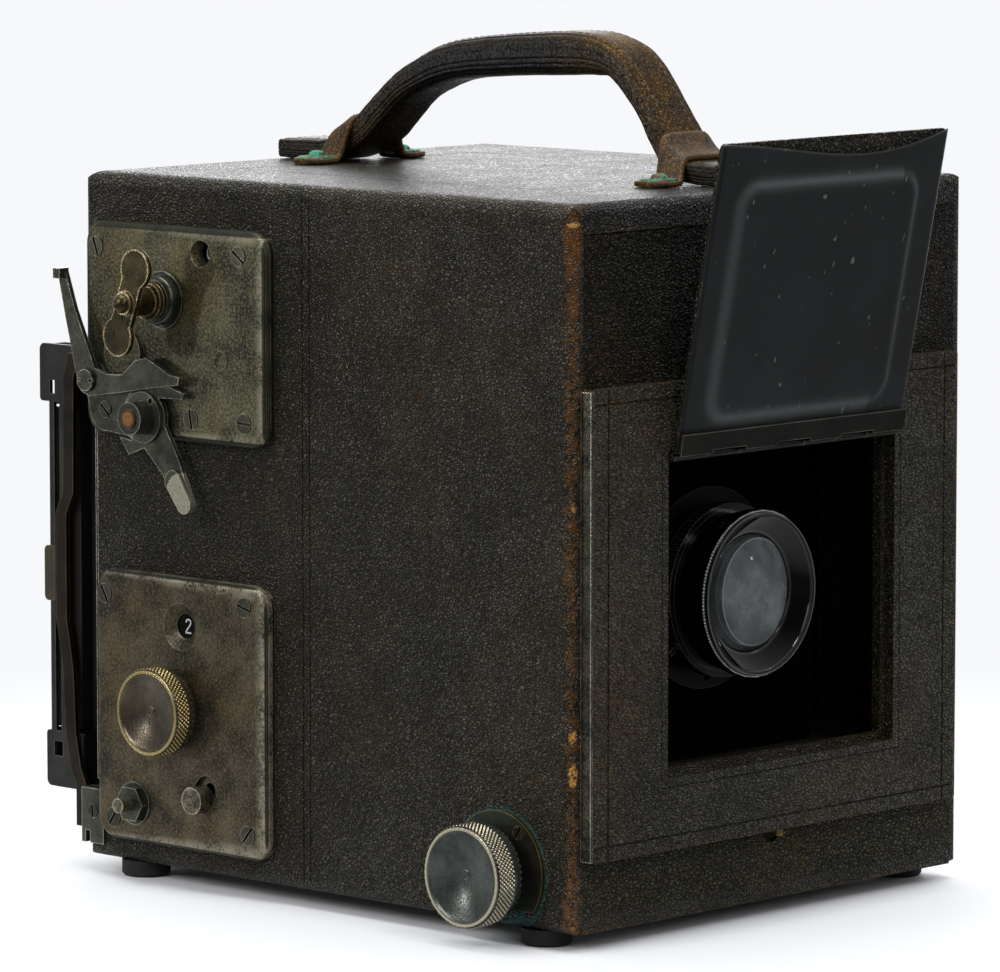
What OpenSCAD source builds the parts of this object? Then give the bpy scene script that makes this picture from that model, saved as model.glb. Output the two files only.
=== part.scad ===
// Single-lens reflex plate camera in a leather-covered box, in millimetres.
// The lens looks along -Y, the controls are on the -X side and +Z is up.
// The origin is the mouth of the tripod bush, on the underside of the base.

/* [Case] */
// Width of the case over the leather
case_w = 210; // [200:1:230]
// Depth of the case, front panel to rear panel
case_d = 244; // [240:1:260]
// Height of the case without the feet
case_h = 254; // [250:1:265]
// Thickness of the covered boards
wall = 5.5; // [5:0.1:6.5]
// Rounding of the covered outer edges
edge_r = 4.5; // [2:0.1:4.8]
// Height of the lid at its front edge
lid_t = 11; // [9:0.2:14]
// Play between the lid and the side panels
lid_play = 0.3; // [0.2:0.05:0.5]

/* [Front frame and door] */
// How far the front frame stands proud of the panels
frame_proud = 5; // [3:0.2:7]
// Thickness of the front frame
frame_t = 8; // [7:0.2:10]
// Lower edge of the front frame
frame_z0 = 25.5; // [20:0.5:30]
// Upper edge of the front frame
frame_z1 = 190; // [180:0.5:200]
// Width of the lens opening
opening_w = 122; // [110:1:130]
// Lower edge of the lens opening
opening_z0 = 51; // [48:0.5:60]
// Height of the door hinge line
door_hinge_z = 164; // [155:0.5:170]
// Depth of the stop lip round the opening
stop_lip = 2.5; // [1.5:0.1:4]
// Thickness of the door
door_t = 3; // [2:0.1:3.5]
// How far the open door leans forward, in degrees
door_lean = 11.3; // [5:0.1:20]

/* [Lens and focusing] */
// Height of the lens axis
lens_z = 109.2; // [100:0.2:115]
// Radius of the milled front rim
rim_r = 30; // [26:0.2:33]
// Radius of the front glass
glass_r = 25.5; // [20:0.2:26]
// Distance of the lens board's front face behind the case front
board_back = 35; // [33:0.5:37]
// Thickness of the lens board
board_t = 5; // [4:0.2:7]
// Width of the lens board
board_w = 124; // [110:1:130]
// Length of the lens in front of its board
lens_len = 30; // [27:0.2:31.5]
// Module of all the gears
gear_m = 1; // [1:1:1]
// Teeth of the focusing pinions
pinion_teeth = 14; // [14:1:14]
// Distance of the focusing shaft behind the case front
focus_back = 34; // [32:0.5:38]
// Height of the focusing shaft
focus_z = 19.6; // [18:0.2:21]
// Radius of the focusing knob
focus_knob_r = 17.5; // [14:0.5:18]
// Radius of the focusing shaft
focus_shaft_r = 3; // [2.5:0.1:3.5]

/* [Reflex mirror] */
// Distance of the mirror shaft in front of the case back
mirror_fore = 40.1; // [38:0.1:44]
// Height of the mirror shaft
mirror_z = 166.6; // [164:0.2:168]
// Room between the raised mirror and the front wall of its box
mirror_room = 3.9; // [2:0.1:20]
// Width of the mirror
mirror_w = 180; // [150:1:186]
// Height of the ground glass
screen_z = 211; // [208:0.5:214]

/* [Gear plates] */
// Thickness of the gear plates
plate_t = 4.5; // [3.5:0.1:5.5]
// Corner radius of the gear plates
plate_r = 8.5; // [6:0.1:10]
// Depth of the upper plate, along the side
upper_d = 94; // [90:0.5:96]
// Height of the upper plate
upper_h = 78; // [75:0.5:80]
// Height of the upper plate's lower edge
upper_z = 158.5; // [157:0.5:160]
// Depth of the lower plate, along the side
lower_d = 89; // [86:0.5:92]
// Height of the lower plate
lower_h = 100; // [96:0.5:102]
// Height of the lower plate's lower edge
lower_z = 9; // [8:0.5:11]
// Distance of the winding key in front of the case back
key_fore = 47; // [45:0.5:49]
// Height of the winding key
key_z = 209.6; // [208:0.2:211]
// Span of the winding key's wing
key_span = 41; // [34:0.5:44]
// Distance of the tension knob in front of the case back
tension_fore = 49.5; // [48:0.5:51]
// Height of the tension knob
tension_z = 60; // [58:0.5:62]
// Radius of the tension knob
tension_r = 15.5; // [12:0.5:17]

/* [Plate holder and back] */
// Thickness of the back frame
back_t = 15; // [13:0.5:17]
// Thickness of the plate holder
holder_t = 18; // [16:0.5:19]
// Height of the film gate
gate_h = 108; // [95:1:110]
// Width of the film gate
gate_w = 166; // [140:1:170]

/* [Handle] */
// Width of the handle strap
strap_w = 24; // [18:0.5:26]
// Height of the handle above the lid
handle_rise = 52.6; // [45:0.2:58]
// Thickness of the strap in the grip
grip_t = 15.5; // [12:0.1:18]

/* [Feet and tripod bush] */
// Height of the feet
foot_h = 6; // [4:0.2:8]
// Radius of the feet
foot_r = 9; // [7:0.5:10]
// Radius of the threaded hole in the tripod bush
bush_hole_r = 4.7; // [3.1:0.1:5.2]
// Depth of the threaded hole
bush_depth = 12; // [8:0.5:13]

/* [Hidden] */

$fn = 64;
eps = 0.01;
// Running clearance of a shaft in its bore
run = 0.05;
// Clearance between pieces that pass each other
gap = 0.3;

// Faces of the case
xo = case_w / 2;
xi = xo - wall;
yf = -case_d / 2;
yb = case_d / 2;
frame_y = yf - frame_proud;
// The frame stops short of the far side board
frame_x1 = xi - 4.2;
lid_z = case_h - lid_t;
// Depth of the tooled lines in the leather, and where the double line runs
tooled = 0.35;
seam_y = 7;

// Colours as the photograph shows them
leather = [0.13, 0.11, 0.10];
worn_leather = [0.28, 0.18, 0.10];
gunmetal = [0.30, 0.29, 0.25];
nickel = [0.55, 0.54, 0.50];
brass = [0.60, 0.48, 0.24];
black = [0.07, 0.07, 0.08];
glass_tint = [0.65, 0.72, 0.78];
wood = [0.35, 0.22, 0.12];

// Common shapes

// A corner of a square, outside the circle that rounds it
module corner_bit(r) {
    difference() {
        translate([-eps, -eps]) square(r + eps);
        translate([r, r]) circle(r = r);
    }
}

// A rectangle with its own radius at each corner: low-low, high-low,
// high-high and low-high
module soft_rect(x0, y0, x1, y1, r) {
    difference() {
        translate([x0, y0]) square([x1 - x0, y1 - y0]);
        if (r[0] > 0) translate([x0, y0]) corner_bit(r[0]);
        if (r[1] > 0) translate([x1, y0]) mirror([1, 0]) corner_bit(r[1]);
        if (r[2] > 0) translate([x1, y1]) mirror([1, 0]) mirror([0, 1]) corner_bit(r[2]);
        if (r[3] > 0) translate([x0, y1]) mirror([0, 1]) corner_bit(r[3]);
    }
}

// Stands a drawing of the Y and Z plane up, with its depth along +X
module along_x(x, y = 0, z = 0) {
    translate([x, y, z]) rotate([90, 0, 90]) children();
}

// Stands a drawing of the X and Z plane up, with its depth along -Y
module along_y(y, x = 0, z = 0) {
    translate([x, y, z]) rotate([90, 0, 0]) children();
}

// A block given by its two corners
module block(a, b) {
    translate(a) cube(b - a);
}

// A slotted screw head that looks along -X, on the surface at x
module side_screw(x, y, z, turn, head_r = 3.6, proud = 0.5, deep = 1.2) {
    along_x(x - proud, y, z) rotate(turn) difference() {
        cylinder(r = head_r, h = proud + deep);
        translate([-head_r - 1, -0.5, -1]) cube([2 * head_r + 2, 1, 1.9]);
    }
}

// Gears

// A point of the involute of a circle, rolled through t degrees
function involute(rb, t) =
    let (a = t * PI / 180) [rb * (cos(t) + a * sin(t)), rb * (sin(t) - a * cos(t))];
function turned(p, a) = [p[0] * cos(a) - p[1] * sin(a), p[0] * sin(a) + p[1] * cos(a)];
pressure = 20;
backlash = 0.16;
function pitch_r(teeth) = teeth * gear_m / 2;
// Roll angle at which the involute reaches radius r
function roll_at(rb, r) = r <= rb ? 0 : sqrt(r * r / (rb * rb) - 1) * 180 / PI;

// The outline of one tooth, from its root to its tip and back
function tooth(teeth) =
    let (r = pitch_r(teeth), rb = r * cos(pressure), ra = r + gear_m,
        rf = r - 1.25 * gear_m,
        half = 90 / teeth - backlash / (4 * r) * 180 / PI
            + tan(pressure) * 180 / PI - pressure,
        start = max(rf, rb), t0 = roll_at(rb, start), t1 = roll_at(rb, ra),
        flank = [for (k = [0:3]) involute(rb, t0 + (t1 - t0) * k / 3)])
    concat([[rf * cos(half), -rf * sin(half)]],
        [for (p = flank) turned(p, -half)],
        [for (k = [3:-1:0]) turned([flank[k][0], -flank[k][1]], half)],
        [[rf * cos(half), rf * sin(half)]]);

module gear_outline(teeth) {
    polygon([for (k = [0:teeth - 1]) for (p = tooth(teeth)) turned(p, k * 360 / teeth)]);
}

// Angle of a gear that meshes with one of teeth_a turned to a0, which lies
// in the direction phi from that one
function mesh_angle(a0, teeth_a, teeth_b, phi) =
    phi + 180 - ((a0 - phi) * teeth_a / 360 + 0.5) * 360 / teeth_b;

// Places that the pieces share

// Gear train of the upper plate: key, roller and number dial
key_y = yb - key_fore;
key_teeth = 28;
roller_teeth = 20;
dial_teeth = 28;
roller_angle = 25;
dial_angle = 160;
upper_centre = pitch_r(key_teeth) + pitch_r(roller_teeth);
roller_y = key_y + upper_centre * cos(roller_angle);
upper_roller_z = key_z + upper_centre * sin(roller_angle);
dial_centre = pitch_r(key_teeth) + pitch_r(dial_teeth);
dial_y = key_y + dial_centre * cos(dial_angle);
dial_z = key_z + dial_centre * sin(dial_angle);
roller_turn = mesh_angle(roller_angle, key_teeth, roller_teeth, roller_angle);
dial_turn = mesh_angle(roller_angle, key_teeth, dial_teeth, dial_angle);
// Gear train of the lower plate: tension knob and lower roller
tension_y = yb - tension_fore;
tension_teeth = 46;
lower_centre = pitch_r(tension_teeth) + pitch_r(roller_teeth);
lower_angle = -acos((roller_y - tension_y) / lower_centre);
lower_roller_z = tension_z + lower_centre * sin(lower_angle);
lower_turn = mesh_angle(lower_angle, tension_teeth, roller_teeth, lower_angle);
// The gears run in pockets of the right side panel
gear_x = -xo + 1.8;
gear_t = 2.6;
pocket_x = -xo + 0.9;
drum_r = 6.6;
journal_r = 2;
// Number windows of the two plates
upper_window_y = dial_y + 7.2;
upper_window_z = dial_z + 8.1;
lower_window_y = tension_y - 5.1;
lower_window_z = tension_z + 30.8;
tension_dial_r = 35.5;
window_r = 4.6;
upper_window_r = 3.7;

// Plates on the side
plate_x = -xo - plate_t;
upper_y1 = yb - 5.5;
lower_y1 = yb - 10;
upper_y0 = upper_y1 - upper_d;
lower_y0 = lower_y1 - lower_d;

// Release pin and stop button of the lower plate
release_pin_y = yb - 30.5;
release_pin_z = 23.4;
stop_y = yb - 65;
stop_z = 28.6;

// Mirror
mirror_y = yb - mirror_fore;
mirror_offset = 12.3;
mirror_shaft_r = 3.5;
mirror_tail = 18;

// Focusing
focus_y = yf + focus_back;
board_y = yf + board_back;
box_front_y = yf + 64;
box_front_t = 5;
mirror_reach = mirror_y - box_front_y - box_front_t - mirror_room;
bed_z = 43.2;
bed_t = 4;
rail_x = 76.2;
bed_w = 156;
bed_y0 = yf + 6.5;
bed_y1 = yf + 50;
pinion_x = 40;
rack_w = 6.5;
rack_line = focus_z + pitch_r(pinion_teeth);

// Hinges
door_axis_y = frame_y - 0.4;
door_knuckle_r = 1.7;
door_w = opening_w - 1.4;
door_knuckles = 7;
opening_z1 = door_hinge_z + 2.1;
lid_axis_y = yb - 2.2;
lid_axis_z = lid_z + 0.1;
lid_knuckle_r = 2;
lid_knuckles = 9;
lid_hinge_w = 184;
leaf_t = 1.4;

// Case

// A side panel in the +X half, rounded where the leather wraps its edges and
// cut back at the rear where the holder goes in
module side_board() {
    intersection() {
        translate([0, 0, -1]) linear_extrude(case_h + 2)
            soft_rect(xi, yf, xo, yb, [0, edge_r, edge_r, 0]);
        along_y(yb + 1) linear_extrude(case_d + 2)
            soft_rect(xi, 0, xo, case_h, [0, wall - 0.3, wall - 0.3, 0]);
        along_x(xi - 1) linear_extrude(wall + 2) difference() {
            soft_rect(yf, 0, yb, case_h, [3, 2, 8, 4]);
            soft_rect(yb - 7, back_z0 + 4, yb + 10, back_z1 - 2, [3, 0, 0, 3]);
        }
    }
}

module right_side_panel() {
    color(leather) difference() {
        mirror([1, 0, 0]) side_board();
        // pockets for the gears, open to the inside
        along_x(pocket_x, key_y, key_z) cylinder(r = pitch_r(key_teeth) + 1.6, h = wall);
        along_x(pocket_x, dial_y, dial_z) cylinder(r = pitch_r(dial_teeth) + 1.6, h = wall);
        along_x(pocket_x, roller_y, upper_roller_z)
            cylinder(r = pitch_r(roller_teeth) + 1.6, h = wall);
        along_x(pocket_x, tension_y, tension_z) cylinder(r = pitch_r(tension_teeth) + 1.6, h = wall);
        along_x(pocket_x, roller_y, lower_roller_z)
            cylinder(r = pitch_r(roller_teeth) + 1.6, h = wall);
        // holes behind the upper window and for the shafts
        along_x(-xo - 1, upper_window_y, upper_window_z) cylinder(r = upper_window_r + 0.4, h = wall);
        along_x(-xo - 1, key_y, key_z) cylinder(r = 5.3, h = wall + 2);
        along_x(-xo - 1, tension_y, tension_z) cylinder(r = 4.3, h = wall + 2);
        along_x(-xo - 1, roller_y, upper_roller_z) cylinder(r = 2.5, h = wall + 2);
        along_x(-xo - 1, roller_y, lower_roller_z) cylinder(r = journal_r + run, h = wall + 2);
        along_x(-xo - 1, mirror_y, mirror_z) cylinder(r = mirror_shaft_r + run, h = wall + 2);
        along_x(-xo - 1, focus_y, focus_z) cylinder(r = focus_shaft_r + run, h = wall + 2);
        along_x(-xo - 1, release_pin_y, release_pin_z) cylinder(r = 3.4, h = 4);
        // tooled double line where two pieces of the leather meet
        for (y = [seam_y - 1.75, seam_y + 1.75])
            block([-xo - 1, y - 0.25, -1], [-xo + tooled, y + 0.25, case_h + 1]);
    }
}

module left_side_panel() {
    color(leather) difference() {
        side_board();
        along_x(xi - 1, roller_y, upper_roller_z) cylinder(r = journal_r + run, h = 4);
        along_x(xi - 1, roller_y, lower_roller_z) cylinder(r = journal_r + run, h = 4);
        along_x(xi - 1, mirror_y, mirror_z) cylinder(r = mirror_shaft_r + run, h = 4);
    }
}

module base_board() {
    color(leather) difference() {
        block([-xi, yf + 0, 0], [xi, yb, wall]);
        translate([0, 0, -1]) cylinder(r = 9, h = wall + 2);
    }
}

// The panel over the frame, the stile beside it, and the rail under it with a
// hollow for the catch
catch_r = 5;
module front_panels() {
    color(leather) {
        block([-xi, yf, frame_z1], [xi, yf + wall, lid_z]);
        difference() {
            block([-xi, yf, wall], [xi, yf + wall, frame_z0]);
            along_y(yf + 1.5, 0, frame_z0) cylinder(r = catch_r, h = 3);
        }
        // stile beside the frame
        block([frame_x1 + eps, yf, frame_z0 + eps], [xi, yf + wall, frame_z1 - eps]);
    }
}

// A brass stud under the frame that keeps its lower edge in place
module frame_catch() {
    color(brass) translate([1, frame_y + 2.5, frame_z0 - 2.4]) cylinder(r = 1.6, h = 2.4 - eps);
}

// The proud frame round the lens opening, with the stop lip for the door
module front_frame() {
    w = opening_w / 2;
    color(leather) difference() {
        along_y(frame_y + frame_t) linear_extrude(frame_t)
            soft_rect(-xi, frame_z0, frame_x1, frame_z1, [0.8, 0.8, 0.8, 0.8]);
        block([-w, frame_y - 1, opening_z0], [w, frame_y + frame_t - 3.7, opening_z1]);
        block([-w + stop_lip, frame_y - 1, opening_z0 + stop_lip],
            [w - stop_lip, frame_y + frame_t + 1, door_hinge_z - 0.5]);
        // tooled lines near the outer edges, and one round the opening
        for (x = [-xi + 7.5, frame_x1 - 6.5])
            block([x - 0.4, frame_y - 1, frame_z0 - 1], [x + 0.4, frame_y + tooled, frame_z1 + 1]);
        for (z = [frame_z0 + 5.2, frame_z1 - 5.2])
            block([-xi - 1, frame_y - 1, z - 0.4], [xi + 1, frame_y + tooled, z + 0.4]);
        for (x = [-w - 3.4, w + 3])
            block([x, frame_y - 1, opening_z0 - 3], [x + 0.4, frame_y + tooled, opening_z1]);
        block([-w - 3.4, frame_y - 1, opening_z0 - 3.4], [w + 3.4, frame_y + tooled, opening_z0 - 3]);
    }
}

// Bright strips that bind the side edges of the frame, and the cut rear edges
// of the side panels
module frame_edge_strips() {
    color(nickel) for (s = [-1, 1]) {
        translate([s > 0 ? frame_x1 : -xi - 1.2, frame_y + 0.2, frame_z0 + 0.5])
            cube([1.2, frame_proud - 0.2 - eps, frame_z1 - frame_z0 - 1]);
        translate([s > 0 ? xo - 3.2 : -xo + eps, yb - 7 + eps, back_z0 + 7.2])
            cube([3.2 - eps, 1.3, back_z1 - back_z0 - 12.4]);
    }
}

module rear_upper_panel() {
    color(leather) block([-xi, yb - wall, back_z1 + gap], [xi, yb, lid_axis_z - 1.3 - leaf_t]);
    color(leather) block([-xi, yb - wall, wall], [xi, yb, back_z0 - gap]);
}

// Front wall of the mirror box, with the window that the bellows covers
module mirror_box_front() {
    color(black) difference() {
        block([-xi, box_front_y, wall], [xi, box_front_y + box_front_t, screen_z - 5]);
        block([-50, box_front_y - 1, 56], [50, box_front_y + box_front_t + 1, 162]);
    }
}

// Bellows: one closed surface of square rings that zigzag in and out
bellows_pleats = 6;
bellows_half = 58;
bellows_depth = 5;
bellows_y0 = board_y + board_t;
bellows_y1 = box_front_y;
function square_ring(half, y) =
    [for (c = [[-1, -1], [1, -1], [1, 1], [-1, 1]]) [c[0] * half, y, lens_z + c[1] * half]];
function bellows_rings(shift) = [for (k = [0:2 * bellows_pleats])
    square_ring(bellows_half - shift - (k % 2) * bellows_depth,
        bellows_y0 + (bellows_y1 - bellows_y0) * k / (2 * bellows_pleats))];
module bellows() {
    n = 2 * bellows_pleats;
    outer = [for (r = bellows_rings(0)) for (p = r) p];
    inner = [for (r = bellows_rings(2.5)) for (p = r) p];
    m = 4 * (n + 1);
    color(black) polyhedron(points = concat(outer, inner), faces = concat(
        [for (k = [0:n - 1]) for (c = [0:3]) let (d = (c + 1) % 4, a = 4 * k)
            each [[a + c, a + 4 + d, a + d], [a + c, a + 4 + c, a + 4 + d]]],
        [for (k = [0:n - 1]) for (c = [0:3]) let (d = (c + 1) % 4, a = m + 4 * k)
            each [[a + c, a + d, a + 4 + d], [a + c, a + 4 + d, a + 4 + c]]],
        [for (c = [0:3]) let (d = (c + 1) % 4) each [[c, d, m + d], [c, m + d, m + c]]],
        [for (c = [0:3]) let (d = (c + 1) % 4, a = 4 * n)
            each [[a + c, m + a + d, a + d], [a + c, m + a + c, m + a + d]]]));
}

// Grooved rails that carry the focusing bed and the far end of its shaft
module bed_rails() {
    color(wood) for (s = [-1, 1]) difference() {
        block([s > 0 ? rail_x : -rail_x - 9, yf + wall, wall],
            [s > 0 ? rail_x + 9 : -rail_x, box_front_y, bed_z + bed_t + 3]);
        block([s > 0 ? rail_x - 1 : -bed_w / 2 - gap, yf, bed_z - 0.15],
            [s > 0 ? bed_w / 2 + gap : -rail_x + 1, box_front_y + 1, bed_z + bed_t + 0.15]);
        along_x(s > 0 ? rail_x - 1 : -rail_x - 10, focus_y, focus_z)
            cylinder(r = focus_shaft_r + run, h = 11);
    }
}

// Frame that carries the ground glass under the lid
screen_y0 = yf + 66;
screen_y1 = yb - 52;
module screen_frame() {
    color(black) difference() {
        block([-xi, yf + wall, screen_z - 5], [xi, key_y + 13, screen_z + 6]);
        block([-84, screen_y0 + 5, screen_z - 6], [84, screen_y1 - 5, screen_z + 7]);
        block([-89, screen_y0, screen_z], [89, screen_y1, screen_z + 7]);
    }
}

module ground_glass() {
    color(glass_tint) block([-88.8, screen_y0 + 0.2, screen_z], [88.8, screen_y1 - 0.2, screen_z + 2.5]);
}

// Leather focusing hood, folded flat in the well under the lid
module focusing_hood() {
    pleat_t = 4.4;
    color(black) for (k = [0:5]) difference() {
        inset = k % 2 == 0 ? 0 : 2.5;
        block([-92 + inset, screen_y0 - 4 + inset, screen_z + 6 + k * pleat_t],
            [92 - inset, screen_y1 + 4 - inset, screen_z + 6 + (k + 1) * pleat_t]);
        block([-80, screen_y0 + 8, screen_z], [80, screen_y1 - 8, case_h]);
    }
}

// Board behind the curtain, with the window that exposes the plate
gate_y0 = roller_y + drum_r + 1.6;
gate_y1 = yb - 11;
module film_gate() {
    color(black) difference() {
        block([-xi, gate_y0, wall], [xi, gate_y1, lid_z - 4]);
        block([-gate_w / 2, gate_y0 - 1, lens_z - gate_h / 2],
            [gate_w / 2, gate_y1 + 1, lens_z + gate_h / 2]);
    }
}

module shutter_curtain() {
    y = roller_y + drum_r + 0.3;
    color(black) difference() {
        block([-gate_w / 2 - 4, y, lower_roller_z], [gate_w / 2 + 4, y + 0.7, upper_roller_z]);
        block([-gate_w / 2 + 8, y - 1, upper_roller_z - 32], [gate_w / 2 - 8, y + 2, upper_roller_z - 29]);
    }
}

// Back frame: a board round the gate, with four cheeks that carry the locks
cheek_x0 = xi - 5.5;
back_z0 = 22;
back_z1 = 192;
cheek_h = 22.5;
holder_y0 = gate_y1 + back_t;
holder_y1 = holder_y0 + holder_t;
module back_frame() {
    color(black) difference() {
        union() {
            block([-cheek_x0, gate_y1, back_z0], [cheek_x0, holder_y0, back_z1]);
            for (s = [-1, 1]) for (z = [back_z0 + 0.5, back_z1 - 26])
                block([s > 0 ? cheek_x0 : -xi, yb, z], [s > 0 ? xi : -cheek_x0, holder_y1, z + cheek_h]);
        }
        block([-gate_w / 2, gate_y1 - 1, lens_z - gate_h / 2],
            [gate_w / 2, holder_y0 + 1, lens_z + gate_h / 2]);
    }
}

// Wooden double plate holder against the back frame
holder_z0 = 38;
holder_z1 = 180;
slide_y = yb + 18.4;
slide_t = 1.2;
slide_z0 = 51;
slide_z1 = 163;
tab_z0 = 93;
tab_z1 = 113.6;
module plate_holder() {
    color(wood) difference() {
        along_x(-cheek_x0 + gap) linear_extrude(2 * (cheek_x0 - gap))
            soft_rect(holder_y0, holder_z0, holder_y1, holder_z1, [0, 1.5, 1.5, 0]);
        block([-cheek_x0 - 1, slide_y - 0.15, slide_z0 - 0.3],
            [cheek_x0 - 12, slide_y + slide_t + 0.15, slide_z1 + 0.3]);
    }
    // rails that fill the sides of the holder before and behind the slide
    color(wood) for (s = [0, 1]) mirror([s, 0, 0])
        for (y = [[yb + 8.5, slide_y - 0.4], [slide_y + slide_t + 0.4, holder_y1 - 0.2]])
            block([-xi + gap, y[0], back_z0 + cheek_h + 1], [-cheek_x0 + gap - eps, y[1], back_z1 - 27]);
}

// The dark slide that covers the plate, with its pull tab
module dark_slide() {
    color(black) block([-cheek_x0 + 0.5, slide_y, slide_z0], [cheek_x0 - 14, slide_y + slide_t, slide_z1]);
    color(black) block([lock_x - 1, slide_y, tab_z0], [-cheek_x0 + 1, slide_y + slide_t, tab_z1]);
    color(brass) along_x(lock_x - 2.2) linear_extrude(1.9)
        soft_rect(yb + 18.1, tab_z0, yb + 23.8, tab_z1, [1.5, 2, 2, 1.5]);
}

// A slotted lock plate in the -X half. Its upper hook holds the holder's
// upper edge, and its lower tongue only guides it
lock_x = -xi - 1.8;
lock_t = 1.5;
lock_travel = 3;
module lock_plate() {
    rail_y0 = slide_y - 4.4;
    rail_y1 = slide_y - 0.9;
    guard_y0 = slide_y + slide_t + 0.9;
    difference() {
        union() {
            along_x(lock_x) linear_extrude(lock_t) {
                soft_rect(yb + 9, 167, yb + 28, 188.5, [1, 1.5, 2.5, 1.5]);
                soft_rect(yb + 6, 23, yb + 25.6, 44, [1.5, 2.5, 1.5, 1]);
                translate([rail_y0, 43]) square([rail_y1 - rail_y0, 126]);
            }
            block([lock_x, holder_y1 + gap, 25.5], [-cheek_x0 + 4, holder_y1 + gap + 1.4, 34.5]);
            block([lock_x, holder_y1 + gap, holder_z1 - lock_travel + 0.5],
                [-cheek_x0 + 4, holder_y1 + gap + 1.4, 187]);
        }
        block([lock_x - 1, yb + 17, 34.5], [lock_x + lock_t + 1, yb + 21.5, 40]);
        block([lock_x - 1, yb + 20, 170], [lock_x + lock_t + 1, yb + 22.6, 175]);
    }
    // guard strip behind the slide, let in between the two ends
    block([lock_x, guard_y0, 44 + eps], [lock_x + lock_t, guard_y0 + 2.5, 167 - eps]);
}
module slide_lock_right() {
    color(gunmetal) lock_plate();
}
module slide_lock_left() {
    color(gunmetal) mirror([1, 0, 0]) lock_plate();
}

// Bowed side springs that press on the holder, drawn as a ribbon
function spring_line() = [[yb + 8, 186], [yb + 10.6, 176], [yb + 11, 134], [yb + 15, 126],
    [yb + 15, 86], [yb + 13.6, 80], [yb + 11.5, 67], [yb + 10.4, 44], [yb + 8, 32], [yb + 4.8, 25],
    [yb + 4.8, 10]];
module holder_springs() {
    p = spring_line();
    color(worn_leather) for (s = [-1, 1]) {
        translate([s > 0 ? xi + 2.1 : -xi - 3.9, 0, 0]) along_x(0) linear_extrude(1.8)
            polygon(concat([for (q = p) [q[0] - 2.8, q[1]]],
                [for (k = [len(p) - 1:-1:0]) [p[k][0] + 2.8, p[k][1]]]));
        // spacer that carries the upper end on the cheek
        block([s > 0 ? xi : -xi - 2.2, yb + 5.4, 179], [s > 0 ? xi + 2.2 : -xi, yb + 8.6, 186]);
    }
}

// Metal angles round the rear lower corners
corner_t = 1;
module corner_brackets() {
    color(gunmetal) for (s = [0, 1]) mirror([s, 0, 0]) difference() {
        union() {
            block([-xo - corner_t, yb - 9.6, 9.5], [-xo, yb + 2, 25.5]);
            block([-xo - corner_t, yb - 9.6, 5], [-xo, yb - 2.4, 10]);
            block([-xo - corner_t, yb, 5], [-xi, yb + 2, 25.5]);
        }
        along_x(-xo - corner_t - 1, yb - 4, 17) cylinder(r = 2.5, h = corner_t + 2);
    }
}

module feet() {
    color(black) for (x = [-xo + 10, xo - 10]) for (y = [yf + 21, yb - 21])
        translate([x, y, -foot_h]) {
            cylinder(r1 = foot_r - 1, r2 = foot_r, h = 1);
            translate([0, 0, 1 - eps]) cylinder(r = foot_r, h = foot_h - 1 + eps);
        }
}

module tripod_bush() {
    color(brass) difference() {
        union() {
            cylinder(r = 9, h = wall);
            translate([0, 0, wall - eps]) cylinder(r = 13, h = bush_depth + 2 - wall);
        }
        translate([0, 0, -1]) cylinder(r = bush_hole_r, h = bush_depth + 1);
    }
}

// Gear plates

// A cushion-edged metal plate on the side
module side_plate(y0, z0, d, h) {
    soft = plate_t / 2 - 0.05;
    along_x(-xo) mirror([0, 0, 1]) hull()
        for (u = [y0 + plate_r, y0 + d - plate_r]) for (v = [z0 + plate_r, z0 + h - plate_r])
            translate([u, v, 0]) rotate_extrude($fn = 32) {
                square([plate_r - soft, plate_t]);
                square([plate_r, plate_t - soft]);
                translate([plate_r - soft, plate_t - soft]) circle(r = soft, $fn = 16);
            }
}

// A number window: a hole with a countersunk rim
module window(y, z, r, rim) {
    along_x(plate_x - 1, y, z) cylinder(r = r, h = plate_t + 2);
    along_x(plate_x - eps, y, z) cylinder(r1 = r + rim, r2 = r, h = 3);
}

function upper_screws() = [[yb - 11.7, upper_z + 68.6, 70], [yb - 85.6, upper_z + 68.9, 35],
    [yb - 88.2, upper_z + 9, 5], [yb - 61, upper_z + 8.5, 80]];
function lower_screws() = [[yb - 15.1, lower_z + 90.7, 60], [yb - 87.7, lower_z + 91.9, 15],
    [yb - 89.2, lower_z + 9, 130], [yb - 19, lower_z + 7.9, 125]];
module screw_holes(list) {
    for (s = list) along_x(plate_x - 1, s[0], s[1]) cylinder(r = 3.7, h = 2.3);
}

module upper_plate() {
    color(gunmetal) difference() {
        union() {
            side_plate(upper_y0, upper_z, upper_d, upper_h);
            along_x(plate_x - 0.6, yb - 76.6, 189.4) cylinder(r = 3.4, h = 1);
            along_x(plate_x - 2, yb - 27, 189) cylinder(r = 9.5, h = 3);
        }
        window(upper_window_y, upper_window_z, upper_window_r, 1.3);
        screw_holes(upper_screws());
        along_x(plate_x - 1, key_y, key_z) cylinder(r = 5 + run, h = plate_t + 2);
        along_x(plate_x - 1, mirror_y, mirror_z) cylinder(r = mirror_shaft_r + run, h = plate_t + 2);
        along_x(-xo - 2.5, roller_y, upper_roller_z) cylinder(r = journal_r + run, h = 4);
    }
}

// Slot in which the stop button travels up and forward
stop_angle = 52;
stop_travel = 4.5;
module stop_slot(r, h) {
    rotate(180 - stop_angle) {
        cylinder(r = r, h = h);
        translate([0, -r, 0]) cube([stop_travel, 2 * r, h]);
        translate([stop_travel, 0, 0]) cylinder(r = r, h = h);
    }
}

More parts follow.
